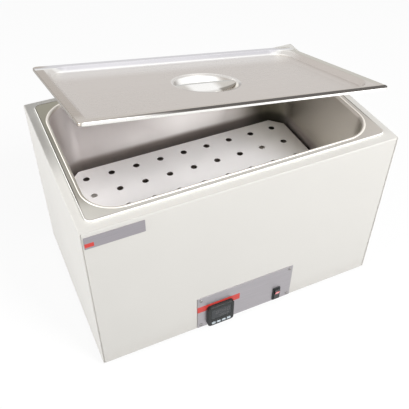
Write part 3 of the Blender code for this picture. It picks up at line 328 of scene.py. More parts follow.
class Wire:
    def __init__(self, board, socket):
        self.board = board
        self.socket = socket

    def maths(self, operation, first, second):
        return self.board.add("ShaderNodeMath", {"operation": operation}, {0: first, 1: second})

    def __add__(self, other):
        return self.maths("ADD", self, other)

    def __radd__(self, other):
        return self.maths("ADD", other, self)

    def __sub__(self, other):
        return self.maths("SUBTRACT", self, other)

    def __rsub__(self, other):
        return self.maths("SUBTRACT", other, self)

    def __mul__(self, other):
        return self.maths("MULTIPLY", self, other)

    def __rmul__(self, other):
        return self.maths("MULTIPLY", other, self)

    def __pow__(self, power):
        return self.maths("POWER", self, power)

    def __abs__(self):
        return self.maths("ABSOLUTE", self, 0)

    def __gt__(self, other):
        return self.maths("GREATER_THAN", self, other)

    def __lt__(self, other):
        return self.maths("LESS_THAN", self, other)


class Board:
    # a node tree, with one way of adding nodes to it
    def __init__(self, tree):
        self.tree = tree

    def add(self, kind, settings=None, inputs=None, output=0):
        # adds a node: settings first, then the values or wires of its sockets
        node = self.tree.nodes.new(kind)
        for key, value in (settings or {}).items():
            setattr(node, key, value)
        for key, value in (inputs or {}).items():
            if isinstance(value, Wire):
                self.tree.links.new(value.socket, node.inputs[key])
            else:
                node.inputs[key].default_value = value
        return Wire(self, node.outputs[output])

    def larger(self, first, second):
        return first.maths("MAXIMUM", first, second)

    def seenRays(self):
        # 1 for what the camera sees, straight or in metal and glass
        camera = self.add("ShaderNodeLightPath", output="Is Camera Ray")
        rays = camera.socket.node.outputs
        glossy, through = (Wire(self, rays[name]) for name in ("Is Glossy Ray", "Is Transmission Ray"))
        return self.larger(self.larger(camera, glossy), through)


class Finish(Board):
    def __init__(self, name, **constants):
        self.material = bpy.data.materials.new(name)
        self.material.use_nodes = True
        super().__init__(self.material.node_tree)
        self.shader = self.tree.nodes["Principled BSDF"]
        for key, value in constants.items():
            self.shader.inputs[key.replace("_", " ")].default_value = value
        self.place = self.add("ShaderNodeTexCoord", output="Object")

    def axes(self, place=None):
        split = self.add("ShaderNodeSeparateXYZ", inputs={0: place or self.place})
        outputs = split.socket.node.outputs
        return [Wire(self, outputs[number]) for number in range(3)]

    def noise(self, scale, detail, stretch=(1, 1, 1), place=None):
        mapped = self.add("ShaderNodeMapping", inputs={"Vector": place or self.place, "Scale": stretch})
        return self.add("ShaderNodeTexNoise", inputs={"Vector": mapped, "Scale": scale, "Detail": detail})

    def fade(self, value, start, end, low=0.0, high=1.0):
        # a soft step of a value from one place to another
        reach = {"Value": value, "From Min": start, "From Max": end, "To Min": low, "To Max": high}
        return self.add("ShaderNodeMapRange", {"interpolation_type": "SMOOTHSTEP"}, reach)

    def spread(self, noise, reach=0.2):
        # a noise drawn out to full strength about its middle
        return self.fade(noise, 0.5 - reach, 0.5 + reach)

    def mix(self, mask, first, second):
        # colours are mixed by the mask
        sockets = {0: mask}
        for key, shade in ((6, first), (7, second)):
            sockets[key] = shade if isinstance(shade, Wire) else (*shade, 1)
        return self.add("ShaderNodeMix", {"data_type": "RGBA"}, sockets, output=2)

    def outline(self, x, y, halfLength, halfWidth, corner):
        # how far a place lies outside a rounded rectangle
        along = self.larger(abs(x) - (halfLength - corner), 0)
        across = self.larger(abs(y) - (halfWidth - corner), 0)
        return (along * along + across * across) ** 0.5 - corner

    def bump(self, height, strength, distance):
        return self.add("ShaderNodeBump", inputs={"Height": height, "Strength": strength,
                                                  "Distance": distance})

    def wear(self, **sockets):
        # links what varies over the surface to the shader
        for key, wire in sockets.items():
            self.tree.links.new(wire.socket, self.shader.inputs[key.replace("_", " ")])
        return self.material


def dim(colour, share):
    return [part * share for part in colour]


enamelLook = {"paint": (0.695, 0.68, 0.645), "grime": (0.60, 0.57, 0.53), "grimeReach": (0.05, 0.009),
              "paintedDeckShadeLevel": 0.3375, "paintedDeckShadeReach": (0.08, 0.26, 0.45, 1.0), "paintedDeckShadeShare": 0.84}


def makeEnamel(name):
    # stoved off-white enamel: faint orange peel, slow drift of shade, dust low down, and painted shade on
    # the deck towards its right
    look = enamelLook
    finish = Finish(name, IOR=1.48)
    x, z = finish.axes()[::2]
    paint = look["paint"]
    shade = finish.mix(finish.spread(finish.noise(scale=5, detail=2), 0.15), dim(paint, 0.985), paint)
    low = finish.fade(z, *look["grimeReach"]) * finish.noise(scale=60, detail=4) * 0.5
    shade = finish.mix(low, shade, look["grime"])
    # painted shade: the deck darkens towards its right end
    paintedDeckShade = (z > look["paintedDeckShadeLevel"]) * finish.fade(x, *look["paintedDeckShadeReach"])
    shade = finish.mix(paintedDeckShade, shade, dim(paint, look["paintedDeckShadeShare"]))
    peel = finish.noise(scale=900, detail=2)
    return finish.wear(Base_Color=shade, Roughness=finish.noise(scale=30, detail=3) * 0.1 + 0.36,
                       Normal=finish.bump(peel, strength=0.12, distance=0.0002))


def makeSteel(name, colour, roughness, stretch, streak):
    # stainless sheet with a soft grain along one direction and a few cloudy patches
    finish = Finish(name, Metallic=1.0)
    grain = finish.noise(scale=1, detail=3, stretch=stretch)
    cloud = finish.spread(finish.noise(scale=9, detail=3))
    shade = finish.mix(cloud, dim(colour, 0.94), colour)
    shade = finish.mix(finish.spread(grain) * streak, shade, dim(colour, 0.86))
    rough = finish.spread(grain, 0.25) * 0.08 + cloud * 0.05 + roughness
    return finish.wear(Base_Color=shade, Roughness=rough,
                       Normal=finish.bump(grain, strength=0.08, distance=0.0002))


# A reach says where a tone sets in and where it is full, then its strength at either end if not 0 and 1
# the wall tone is the steel's own; the other tones are painted reflections, highlights and shade
tankTones = {"wall": (0.60, 0.565, 0.555), "glow": (0.97, 0.945, 0.93), "corner": (0.20, 0.185, 0.145),
             "paintedLightLeftWall": (0.90, 0.85, 0.83), "paintedReflectionRightWall": (0.62, 0.585, 0.52),
             "paintedLowShade": (0.44, 0.39, 0.365), "paintedLowShadeCorner": (0.09, 0.085, 0.065),
             "paintedBackFlangeReflection": (0.31, 0.295, 0.24), "paintedLeftFlangeReflection": (0.56, 0.54, 0.485),
             "paintedFrontFlangeReflection": (0.60, 0.585, 0.54), "paintedRightFlangeReflection": (0.42, 0.39, 0.355),
             "bead": (0.80, 0.76, 0.70), "paintedFoldShade": (0.14, 0.13, 0.11), "paintedFrontFoldShade": (0.46, 0.43, 0.40),
             "edge": (0.95, 0.94, 0.91)}
tankReach = {"paintedReflectionLeft": (-0.11, 0.03), "paintedReflectionRight": (0.145, 0.085), "paintedReflectionDown": (0.31, 0.23, 0.62),
             "paintedLowReflectionDown": (0.275, 0.215), "paintedLowReflectionRight": (0.20, 0.13), "paintedLowReflectionLeft": (-0.20, -0.06),
             "paintedLightLeftWall": (-0.212, -0.238), "paintedReflectionRightWall": (0.19, 0.235), "paintedShadeCornerRight": (0.125, 0.215),
             "paintedShadeCornerBack": (0.085, 0.13), "paintedLowShade": (0.2175, 0.2035), "paintedLeftFlangeReflection": (0.12, -0.06),
             "paintedFrontFlangeReflection": (-0.095, -0.140), "paintedRightFlangeReflection": (0.13, 0.235), "paintedFoldShade": (-0.0026, -0.0020),
             "edge": (-0.0010, -0.0005), "paintedEdgeHighlightEnd": (0.2600, 0.2625), "bead": (0.0003, -0.0003)}
tankOutlines = {"rim": (0.2635, 0.1620, 0.011), "bead": (0.2556, 0.1541, 0.0581), "wallTop": 0.3365}


def makeTankSteel(name):
    # drawn steel with faint grain up the walls, and painted light: a painted reflection low on the back
    # wall, a lighter left wall, a painted reflection on the right wall, painted shade in the back right
    # corner and from the shelf's level down, a painted tone for each side of the flange, painted
    # highlights on the bead and outer edge, and a painted dark line at the fold
    tones, reach, outlines = tankTones, tankReach, tankOutlines
    finish = Finish(name)
    x, y, z = finish.axes()
    grain = finish.noise(scale=1, detail=2, stretch=(300, 300, 14))
    cloud = finish.noise(scale=7, detail=2)
    wall = tones["wall"]
    shade = finish.mix(finish.spread(cloud), dim(wall, 0.97), wall)
    shade = finish.mix(finish.spread(grain) * 0.06, shade, dim(wall, 0.88))
    # painted reflection of the bright shelf across the lower back wall, stronger just above the shelf
    glow = finish.fade(x, *reach["paintedReflectionLeft"]) * finish.fade(x, *reach["paintedReflectionRight"])
    glow = glow * finish.fade(z, *reach["paintedReflectionDown"])
    low = finish.fade(x, *reach["paintedLowReflectionLeft"]) * finish.fade(x, *reach["paintedLowReflectionRight"])
    low = low * finish.fade(z, *reach["paintedLowReflectionDown"]) * 0.6
    shade = finish.mix(finish.larger(glow, low), shade, tones["glow"])
    # painted light on the left wall, a painted olive reflection on the right wall
    shade = finish.mix(finish.fade(x, *reach["paintedLightLeftWall"]), shade, tones["paintedLightLeftWall"])
    shade = finish.mix(finish.fade(x, *reach["paintedReflectionRightWall"]), shade, tones["paintedReflectionRightWall"])
    # painted shade in the back right corner
    corner = finish.fade(x, *reach["paintedShadeCornerRight"]) * finish.fade(y, *reach["paintedShadeCornerBack"])
    shade = finish.mix(corner, shade, tones["corner"])
    # painted shade from the shelf's level down, darkest in the back right corner
    paintedLowShade = finish.fade(z + cloud * 0.004, *reach["paintedLowShade"])
    shade = finish.mix(paintedLowShade, shade, finish.mix(corner, tones["paintedLowShade"], tones["paintedLowShadeCorner"]))
    # painted reflections: each side of the flange gets its own tone
    flange = finish.mix(finish.fade(y, *reach["paintedLeftFlangeReflection"]), tones["paintedBackFlangeReflection"], tones["paintedLeftFlangeReflection"])
    front = finish.fade(y, *reach["paintedFrontFlangeReflection"])
    flange = finish.mix(front, flange, tones["paintedFrontFlangeReflection"])
    flange = finish.mix(finish.fade(x, *reach["paintedRightFlangeReflection"]), flange, tones["paintedRightFlangeReflection"])
    # a painted dark line at the rim's outer fold, and a painted highlight along its outer edge that turns
    # dark at the right end
    outside = finish.outline(x, y - middleY, *outlines["rim"])
    paintedFoldShade = finish.mix(front, tones["paintedFoldShade"], tones["paintedFrontFoldShade"])
    flange = finish.mix(finish.fade(outside, *reach["paintedFoldShade"]), flange, paintedFoldShade)
    edge = finish.mix(finish.fade(x, *reach["paintedEdgeHighlightEnd"]), tones["edge"], tones["paintedFoldShade"])
    flange = finish.mix(finish.fade(outside, *reach["edge"]), flange, edge)
    # painted highlight on the bead at the opening
    beaded = finish.fade(finish.outline(x, y - middleY, *outlines["bead"]), *reach["bead"])
    flange = finish.mix(beaded, flange, tones["bead"])
    inside = (z < outlines["wallTop"]) * beaded
    shade = finish.mix(inside, flange, shade)
    rough = finish.spread(grain, 0.25) * 0.02 + paintedLowShade * 0.25 + 0.38
    flangeMetal = 0.9 - front * 0.65
    metal = flangeMetal + inside * (1 - flangeMetal)
    return finish.wear(Base_Color=shade, Roughness=rough, Metallic=metal,
                       Normal=finish.bump(grain, strength=0.02, distance=0.0001))


shelfTones = {"plate": (0.97, 0.955, 0.955), "paintedShadeRightEnd": (0.66, 0.635, 0.60),
              "grain": (0.90, 0.89, 0.885)}
shelfReach = {"paintedShadeRightEnd": (0.13, 0.26), "slantShare": 0.6}


def makeShelfSteel(name):
    # scoured matt sheet, with painted shade towards its right end
    tones, reach = shelfTones, shelfReach
    finish = Finish(name, Metallic=0.1)
    x, y = finish.axes()[:2]
    grain = finish.noise(scale=1, detail=3, stretch=(8, 320, 320))
    shade = finish.mix(finish.spread(grain) * 0.10, tones["plate"], tones["grain"])
    # painted shade over the shelf's right end
    paintedRightEndShade = finish.fade(x + y * reach["slantShare"], *reach["paintedShadeRightEnd"])
    shade = finish.mix(paintedRightEndShade, shade, tones["paintedShadeRightEnd"])
    cloud = finish.spread(finish.noise(scale=9, detail=3))
    return finish.wear(Base_Color=shade, Roughness=cloud * 0.06 + 0.42,
                       Normal=finish.bump(grain, strength=0.08, distance=0.0002))


def makePlastic(name, colour, roughness, texture=0.10, **constants):
    # moulded plastic with a fine spark-eroded texture
    finish = Finish(name, **constants)
    speck = finish.noise(scale=1600, detail=2)
    shade = finish.mix(finish.noise(scale=40, detail=2), colour, dim(colour, 1.18))
    rough = finish.noise(scale=200, detail=2) * 0.12 + roughness - 0.06
    return finish.wear(Base_Color=shade, Roughness=rough,
                       Normal=finish.bump(speck, texture, 0.0001))


cabinetPaint = makeEnamel("cabinet_enamel")
tankSteel = makeTankSteel("tank_steel")
shelfSteel = makeShelfSteel("shelf_steel")
legSteel = makeSteel("leg_steel", (0.58, 0.56, 0.54), 0.3, (200, 200, 900), 0.3)
heaterSteel = makeSteel("heater_steel", (0.42, 0.38, 0.34), 0.34, (120, 120, 120), 0.6)
brass = makeSteel("brass_fitting", (0.64, 0.47, 0.22), 0.32, (300, 300, 300), 0.4)
screwSteel = makeSteel("screw_steel", (0.36, 0.35, 0.34), 0.3, (500, 500, 500), 0.3)
zincSteel = makeSteel("zinc_plate", (0.56, 0.57, 0.56), 0.42, (60, 60, 60), 0.5)
castAlloy = makeSteel("finned_alloy", (0.55, 0.55, 0.56), 0.45, (20, 20, 500), 0.3)
blackPlastic = makePlastic("black_plastic", (0.012, 0.014, 0.014), 0.45, Specular_IOR_Level=0.32)
blackGloss = makePlastic("black_rocker", (0.018, 0.019, 0.02), 0.3, 0.04)
greyKey = makePlastic("grey_key", (0.50, 0.56, 0.60), 0.45, 0.05)
whitePlastic = makePlastic("white_plastic", (0.78, 0.78, 0.74), 0.45)
rubber = makePlastic("foot_rubber", (0.02, 0.02, 0.021), 0.75, 0.3)
silicone = makePlastic("white_silicone", (0.70, 0.69, 0.65), 0.6)
motorPaint = makePlastic("motor_paint", (0.05, 0.055, 0.06), 0.42, 0.2)
print("water bath: finishes mixed")


# Each plate's colour, and its printed bar's left, right, low and high
barRed = (0.62, 0.05, 0.04)
fasciaLook = {"colour": (0.44, 0.42, 0.44), "bar": (-0.0962, -0.0105, 0.0545, 0.0705)}
namePlateLook = {"colour": (0.38, 0.36, 0.385), "bar": (-0.2742, -0.2600, 0.3085, 0.3165)}


def makePlateFinish(name, look):
    # satin aluminium sheet, brushed along its length, with one printed red bar
    finish = Finish(name)
    colour = look["colour"]
    x, z = finish.axes()[::2]
    grain = finish.noise(scale=1, detail=3, stretch=(25, 25, 1400))
    streaks = finish.spread(grain)
    shade = finish.mix(streaks * 0.5, colour, dim(colour, 0.88))
    left, right, low, high = look["bar"]
    mask = (x > left) * (x < right) * (z > low) * (z < high)
    shade = finish.mix(mask, shade, barRed)
    return finish.wear(Base_Color=shade, Metallic=0.85 - mask * 0.85, Roughness=streaks * 0.1 + 0.36,
                       Normal=finish.bump(grain, strength=0.05, distance=0.0001))


fasciaMetal = makePlateFinish("fascia_metal", fasciaLook)
nameMetal = makePlateFinish("name_plate_metal", namePlateLook)


def makeWool():
    finish = Finish("glass_wool", Roughness=0.95)
    fibres = finish.noise(scale=180, detail=5)
    return finish.wear(Base_Color=finish.mix(fibres, (0.72, 0.64, 0.40), (0.85, 0.80, 0.62)),
                       Normal=finish.bump(fibres, strength=0.8, distance=0.002))


def makeWindow():
    # smoked acrylic over a dark display
    finish = Finish("smoked_window", Specular_IOR_Level=0.35)
    cloud = finish.noise(scale=70, detail=2)
    return finish.wear(Base_Color=finish.mix(cloud, (0.022, 0.026, 0.030), (0.032, 0.037, 0.041)),
                       Roughness=finish.noise(scale=25, detail=2) * 0.08 + 0.2)


def makeSegments():
    finish = Finish("unlit_segments")
    cloud = finish.noise(scale=300, detail=2)
    return finish.wear(Base_Color=finish.mix(cloud, (0.075, 0.075, 0.08), (0.11, 0.105, 0.11)),
                       Roughness=cloud * 0.1 + 0.3)


def makeLens():
    # clear red lens that glows a little over its lamp
    finish = Finish("red_lens", Emission_Strength=0.35, Coat_Weight=0.6)
    ribs = finish.add("ShaderNodeTexWave", {"bands_direction": "Z"},
                      {"Vector": finish.place, "Scale": 400.0, "Distortion": 0.0})
    glow = finish.noise(scale=120, detail=2)
    return finish.wear(Base_Color=finish.mix(glow, (0.70, 0.05, 0.07), (0.86, 0.11, 0.13)),
                       Emission_Color=finish.mix(glow, (0.9, 0.08, 0.10), (1.0, 0.22, 0.24)),
                       Roughness=glow * 0.08 + 0.16,
                       Normal=finish.bump(ribs, strength=0.1, distance=0.0001))


glassWool = makeWool()
smokedWindow = makeWindow()
unlitSegments = makeSegments()
redLens = makeLens()


# Cabinet sheets

cabinetShape = {"bend": 0.0024, "bendSteps": 6, "sheet": 0.0015, "lip": 0.014, "return": 0.012,
                "edge": 0.0004, "deckCorner": 0.059, "deckSteps": 12, "deckLength": 0.513,
                "deckWidth": 0.310, "deckCut": 0.006, "rearCut": 0.006, "floorCut": 0.0018,
                "notchCut": 0.0021, "frontCut": 0.002}
frontHoles = (("controller_case", 0.0040), ("switch_housing", 0.0018))  # each with its flange's margin


def finishSheet(piece):
    softenEdges(piece, cabinetShape["edge"], 2, 60)
    shadeSmooth(piece)


def addFrontCutters(front, back):
    # what the controller and the switch pass through
    cutters = []
    for node, margin in frontHoles:
        low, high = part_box(node)
        cutters.append(addBlock("front_hole", (low.x + margin, front - overrun, low.z + margin),
                                (high.x - margin, back + overrun, high.z - margin)))
    return cutters


def makeWrapper():
    shape = cabinetShape
    low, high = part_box("cabinet_wrapper")
    piece = addBlock("wrapper_sheet", low, high)
    startEditing(piece)
    choose("FACE", lambda middle, normal: normal.y < -0.9)
    bpy.ops.mesh.delete(type="ONLY_FACE")
    choose("EDGE", lambda middle, way: abs(way.y) > 0.9 and middle.z > high.z - nearly)
    roundChosen(shape["bend"], shape["bendSteps"])
    stopEditing()
    addModifier(piece, "SOLIDIFY", thickness=shape["sheet"], offset=-1, use_even_offset=True)
    halfLength, halfWidth = shape["deckLength"] / 2, shape["deckWidth"] / 2
    opening = addSoftBlock("deck_opening", (-halfLength, middleY - halfWidth, high.z - shape["deckCut"]),
                           (halfLength, middleY + halfWidth, high.z + shape["deckCut"]), alongZ,
                           shape["deckCorner"], shape["deckSteps"])
    carve(piece, [opening])
    inner = high.x - shape["lip"]
    back = addBlock("back_opening", (-inner, high.y - shape["rearCut"], low.z - overrun),
                    (inner, high.y + overrun, high.z - shape["lip"]))
    carve(piece, [back])
    floorCut = addBlock("floor_opening", (-inner, low.y - overrun, low.z - overrun),
                        (inner, high.y - shape["lip"], low.z + shape["floorCut"]))
    carve(piece, [floorCut])
    clear = high.x - shape["sheet"] - thinGap / 2
    notch = addBlock("front_notch", (-clear, low.y - overrun, low.z - overrun),
                     (clear, low.y + shape["return"] + thinGap, low.z + shape["notchCut"]))
    carve(piece, [notch])
    fixNormals(piece)
    finishSheet(piece)
    fitPiece(piece, "cabinet", "cabinet_paint", cabinetPaint, "cabinet_wrapper")


def makeFrontSheet():
    shape = cabinetShape
    low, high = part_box("front_panel")
    piece = addBlock("front_sheet", low, high)
    startEditing(piece)
    choose("FACE", lambda middle, normal: normal.y > 0.9 or normal.z < -0.9)
    bpy.ops.mesh.delete(type="ONLY_FACE")
    choose("EDGE", lambda middle, way: middle.y < low.y + nearly and middle.z > low.z + nearly)
    roundChosen(shape["bend"], shape["bendSteps"])
    stopEditing()
    addModifier(piece, "SOLIDIFY", thickness=shape["sheet"], offset=-1, use_even_offset=True)
    carve(piece, addFrontCutters(low.y, low.y + shape["frontCut"]))
    fixNormals(piece)
    finishSheet(piece)
    fitPiece(piece, "cabinet", "cabinet_paint", cabinetPaint, "front_panel")


makeWrapper()
makeFrontSheet()
print("water bath: cabinet sheets folded")


# Tank

tankShape = {"steps": 14, "rimLength": 0.527, "rimWidth": 0.324, "flange": 0.011, "draft": 0.0105,
             "depth": 0.203, "bead": 0.001, "beadFoot": 0.0079, "beadTop": (0.0088, 0.0130),
             "floorInset": 0.034, "bends": (0.001, 0.0008, 0.0008, 0.0034, 0.016), "bendSteps": 5,
             "cornerRadii": (0.011, 0.0105, 0.0581, 0.055, 0.0455, 0.030), "sheet": 0.001,
             "glandHole": 0.0068, "glands": ((-0.168, -0.026), (-0.168, 0.026), (0.08845, -0.040))}


def makeTank():
    shape = tankShape
    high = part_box("tank")[1]
    rimTop = high.z - shape["bead"]
    floor = rimTop - shape["depth"]
    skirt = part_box("rim_gasket")[0].z
    wallFoot = shape["flange"] + shape["draft"]
    floorEdge = shape["flange"] + shape["floorInset"]
    beadStart, beadEnd = shape["beadTop"]
    points = [(0, skirt), (0, rimTop), (shape["beadFoot"], rimTop), (beadStart, high.z), (beadEnd, high.z),
              (wallFoot, floor), (floorEdge, floor)]
    insets = (0, shape["sheet"], shape["beadFoot"], shape["flange"], wallFoot, floorEdge)
    corners = list(zip(insets, shape["cornerRadii"]))
    rings = []
    for across, height in softenPath(points, shape["bends"], shape["bendSteps"]):
        ring = addRing(shape["rimLength"] - 2 * across, shape["rimWidth"] - 2 * across,
                       readTable(corners, across), shape["steps"])
        rings.append((ring, height))
    piece = bridgeRings("tank_pan", rings)
    faceUpward(piece)
    addModifier(piece, "SOLIDIFY", thickness=shape["sheet"], offset=-1, use_even_offset=True)
    piece.location = (0, middleY, 0)
    applyPlace(piece)
    deselectAll()
    bpy.ops.mesh.primitive_cylinder_add(vertices=32, radius=shape["glandHole"], depth=3 * overrun)
    carve(piece, setOut(bpy.context.object,
                        [("gland_hole", (x, middleY + y, floor)) for x, y in shape["glands"]]))
    shadeSmooth(piece, 50)
    fitPiece(piece, "cabinet", "tank_steel", tankSteel, "tank")


makeTank()
print("water bath: tank drawn")


# Shelf and its legs

shelfShape = {"corner": 0.024, "pitch": 0.0508, "hole": 0.00635, "columns": 9, "rows": 5, "edge": 0.0003}
legShape = {"holes": ((-4, -1), (-4, 1), (3, -1), (3, 1)), "radius": 0.0075, "foot": 0.0095,
            "footHeight": 0.003, "spigot": 0.00605, "footEdge": 0.0006, "footSlope": 0.0008,
            "neck": 0.0002, "edge": 0.0005, "tipEdge": 0.0004}


def makeShelf():
    shape = shelfShape
    low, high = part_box("perforated_shelf")
    piece = addSoftBlock("shelf_plate", low, high, alongZ, shape["corner"], 1)
    pitch = shape["pitch"]
    deselectAll()
    bpy.ops.mesh.primitive_cylinder_add(vertices=28, radius=shape["hole"], depth=2 * overrun)
    cutter = bpy.context.object
    for count, step in ((shape["columns"], (pitch, 0, 0)), (shape["rows"], (0, pitch, 0))):
        addModifier(cutter, "ARRAY", count=count, use_relative_offset=False, use_constant_offset=True,
                    constant_offset_displace=step)
    across, along = (shape["columns"] - 1) / 2 * pitch, (shape["rows"] - 1) / 2 * pitch
    cutter.location = (-across, middleY - along, high.z)
    applyPlace(cutter)
    carve(piece, [cutter])
    softenEdges(piece, shape["edge"], 2, 50)
    shadeSmooth(piece)
    fitPiece(piece, "shelf", "shelf_steel", shelfSteel, "perforated_shelf")


def makeLegs():
    shape = legShape
    low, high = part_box("shelf_leg_1")
    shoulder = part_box("perforated_shelf")[0].z - thinGap
    floor, foot = low.z, low.z + shape["footHeight"]
    wide, narrow, spigot = shape["foot"], shape["radius"], shape["spigot"]
    profile = [(wide - shape["footEdge"], floor), (wide, floor + shape["footEdge"]),
               (wide, foot - shape["footSlope"]), (wide - shape["footSlope"], foot),
               (narrow, foot + shape["neck"]), (narrow, shoulder - shape["edge"]),
               (narrow - shape["edge"], shoulder), (spigot, shoulder),
               (spigot, high.z - shape["tipEdge"]), (spigot - shape["tipEdge"], high.z)]
    leg = addTurned("shelf_leg_turned", profile)
    shadeSmooth(leg)
    pitch = shelfShape["pitch"]
    places = [("shelf_leg_turned_" + str(number), (column * pitch, middleY + row * pitch, 0))
              for number, (column, row) in enumerate(shape["holes"], 1)]
    for number, leg in enumerate(setOut(leg, places), 1):
        fitPiece(leg, "shelf", "leg_steel", legSteel, "shelf_leg_" + str(number))


makeShelf()
makeLegs()
print("water bath: shelf punched")


# Lid, made level and then tilted as it is held

lidShape = {"steps": 12, "length": 0.514, "width": 0.311, "skirt": 0.005, "border": 0.0145,
            "riser": 0.007, "riserFoot": 0.0018, "panelSlope": 0.020, "panelFlat": 0.006,
            "drop": 0.010, "sheet": 0.0008,
            "bends": (0.0014, 0.0034, 0.0065, 0.060), "bendSteps": 7, "bendHalf": 0.0015,
            "cornerRadii": (0.009, 0.0085, 0.0440, 0.0415, 0.036, 0.031, 0.018),
            "dish": 0.058, "dishDepth": 0.015, "dishPower": 4.2, "lipShare": 0.95, "lipSlope": 14,
            "dishShares": (1.0, 0.985, 0.965, 0.94, 0.90, 0.85, 0.78, 0.68, 0.55, 0.38, 0.2, 0.06),
            "pivot": (0.252336, 0.157237, 0.3419), "axis": (-0.876307, 0.481754, 0), "tilt": 16.3,
            "seat": 0.3419}
# the panel tone is the steel's own; the other tones are painted reflections, highlights and shade
lidTones = {"panel": (0.54, 0.495, 0.46), "paintedFarPanelHighlight": (0.68, 0.655, 0.625), "riser": (0.80, 0.79, 0.77),
            "dish": (0.96, 0.95, 0.93), "paintedDishShadeLeft": (0.38, 0.355, 0.33), "paintedDishShadeRight": (0.54, 0.50, 0.46),
            "paintedDishHighlightNear": (0.95, 0.91, 0.85), "paintedDishRimReflection": (0.66, 0.635, 0.61), "paintedDishLipShade": (0.34, 0.32, 0.30),
            "left": (0.38, 0.33, 0.285), "back": (0.58, 0.57, 0.595), "right": (0.48, 0.455, 0.40),
            "front": (0.50, 0.455, 0.41), "skirt": (0.95, 0.94, 0.91), "paintedBackEdgeShade": (0.45, 0.43, 0.42),
            "paintedLeftEdgeShade": (0.27, 0.235, 0.20), "shadow": (0.035, 0.027, 0.022)}
lidReach = {"paintedFarPanelHighlight": (0.070, 0.125), "left": (-0.225, -0.248), "right": (0.215, 0.245),
            "front": (-0.120, -0.143), "border": (-0.0010, 0.0010), "riser": (0.1270, 0.1315),
            "paintedRiserHighlightTop": (0.1330, 0.1375), "dish": (0.0600, 0.0585), "paintedDishShadeLeft": (-0.028, -0.046),
            "paintedDishShadeRight": (0.030, 0.048), "paintedDishHighlightNear": (0, -0.018), "paintedDishRimReflection": (0.0540, 0.0552),
            "paintedDishLipShade": (-0.010, -0.035), "skirt": (-0.0003, 0.0003), "paintedBackEdgeShade": (0.148, 0.152),
            "paintedLeftEdgeShade": (-0.2535, -0.2555), "shadow": (-0.1468, -0.1482), "shadowRight": (-0.26, -0.09)}
lidMarks = {"panelHalf": (0.2425, 0.141), "skirtHalf": (0.2560, 0.1545), "shadowFoot": 0.0033,
            "shadowSlant": 0.008}


def lidPose():
    shape = lidShape
    pivot = Vector(shape["pivot"])
    turn = Matrix.Rotation(math.radians(shape["tilt"]), 4, Vector(shape["axis"]))
    seat = Matrix.Translation((0, middleY, shape["seat"]))
    return Matrix.Translation(pivot) @ turn @ Matrix.Translation(-pivot) @ seat


def tiltAsHeld(piece):
    piece.matrix_world = lidPose()
    applyPlace(piece)


def makeLidSteel(name):
    # satin sheet brushed along the lid, with painted reflections and shade: a tone for each border, a
    # painted highlight on the back riser and far panel, painted light and shade in the dish, a painted
    # highlight on the skirt and a painted shadow line along the front edge
    tones, reach, marks = lidTones, lidReach, lidMarks
    finish = Finish(name)
    pose = lidPose()
    level = finish.add("ShaderNodeMapping", {"vector_type": "TEXTURE"},
                       {"Vector": finish.place, "Location": pose.to_translation(),
                        "Rotation": pose.to_euler()})
    x, y, z = finish.axes(level)
    grain = finish.noise(scale=1, detail=3, stretch=(6, 260, 260), place=level)
    cloud = finish.spread(finish.noise(scale=6, detail=2, place=level))
    panel = tones["panel"]
    shade = finish.mix(cloud, dim(panel, 0.97), panel)
    shade = finish.mix(finish.spread(grain) * 0.10, shade, dim(panel, 0.88))
    # painted highlight over the far part of the panel
    shade = finish.mix(finish.fade(y, *reach["paintedFarPanelHighlight"]), shade, tones["paintedFarPanelHighlight"])
    # painted reflections: each side of the border gets its own tone
    side = finish.mix(finish.fade(x, *reach["left"]), tones["back"], tones["left"])
    side = finish.mix(finish.fade(x, *reach["right"]), side, tones["right"])
    side = finish.mix(finish.fade(y, *reach["front"]), side, tones["front"])
    halfLength, halfWidth = marks["panelHalf"]
    border = finish.larger(abs(x) - halfLength, abs(y) - halfWidth)
    shade = finish.mix(finish.fade(border, *reach["border"]), shade, side)
    # painted highlight on the back riser
    riser = finish.mix(finish.fade(y, *reach["paintedRiserHighlightTop"]), tones["riser"], tones["back"])
    shade = finish.mix(finish.fade(y, *reach["riser"]) * (y < halfWidth), shade, riser)
    away = (x * x + y * y) ** 0.5
    # painted light and shade in the dish: bright in the middle and on the near right, shaded to the left,
    # far right and on the near part of its rim
    dish = finish.mix(finish.fade(x, *reach["paintedDishShadeLeft"]), tones["dish"], tones["paintedDishShadeLeft"])
    right = finish.mix(finish.fade(y, *reach["paintedDishHighlightNear"]), tones["paintedDishShadeRight"], tones["paintedDishHighlightNear"])
    dish = finish.mix(finish.fade(x, *reach["paintedDishShadeRight"]), dish, right)
    lip = finish.mix(finish.fade(y, *reach["paintedDishLipShade"]), tones["paintedDishRimReflection"], tones["paintedDishLipShade"])
    dish = finish.mix(finish.fade(away, *reach["paintedDishRimReflection"]), dish, lip)
    shade = finish.mix(finish.fade(away, *reach["dish"]), shade, dish)
    # painted highlight along the skirt, painted shade on its back and left edges
    halfLength, halfWidth = marks["skirtHalf"]
    outside = finish.fade(finish.larger(abs(x) - halfLength, abs(y) - halfWidth), *reach["skirt"])
    skirt = finish.mix(finish.fade(y, *reach["paintedBackEdgeShade"]), tones["skirt"], tones["paintedBackEdgeShade"])
    skirt = finish.mix(finish.fade(x, *reach["paintedLeftEdgeShade"]), skirt, tones["paintedLeftEdgeShade"])
    shade = finish.mix(outside, shade, skirt)
    shadow = finish.fade(y - x * marks["shadowSlant"], *reach["shadow"]) * (z > marks["shadowFoot"])
    shadow = shadow * finish.fade(x, *reach["shadowRight"])
    shade = finish.mix(shadow, shade, tones["shadow"])
    rough = finish.spread(grain, 0.25) * 0.03 + cloud * 0.03 + shadow * 0.3 + 0.25
    return finish.wear(Base_Color=shade, Roughness=rough, Metallic=1 - shadow * 0.9,
                       Normal=finish.bump(grain, strength=0.015, distance=0.0002))


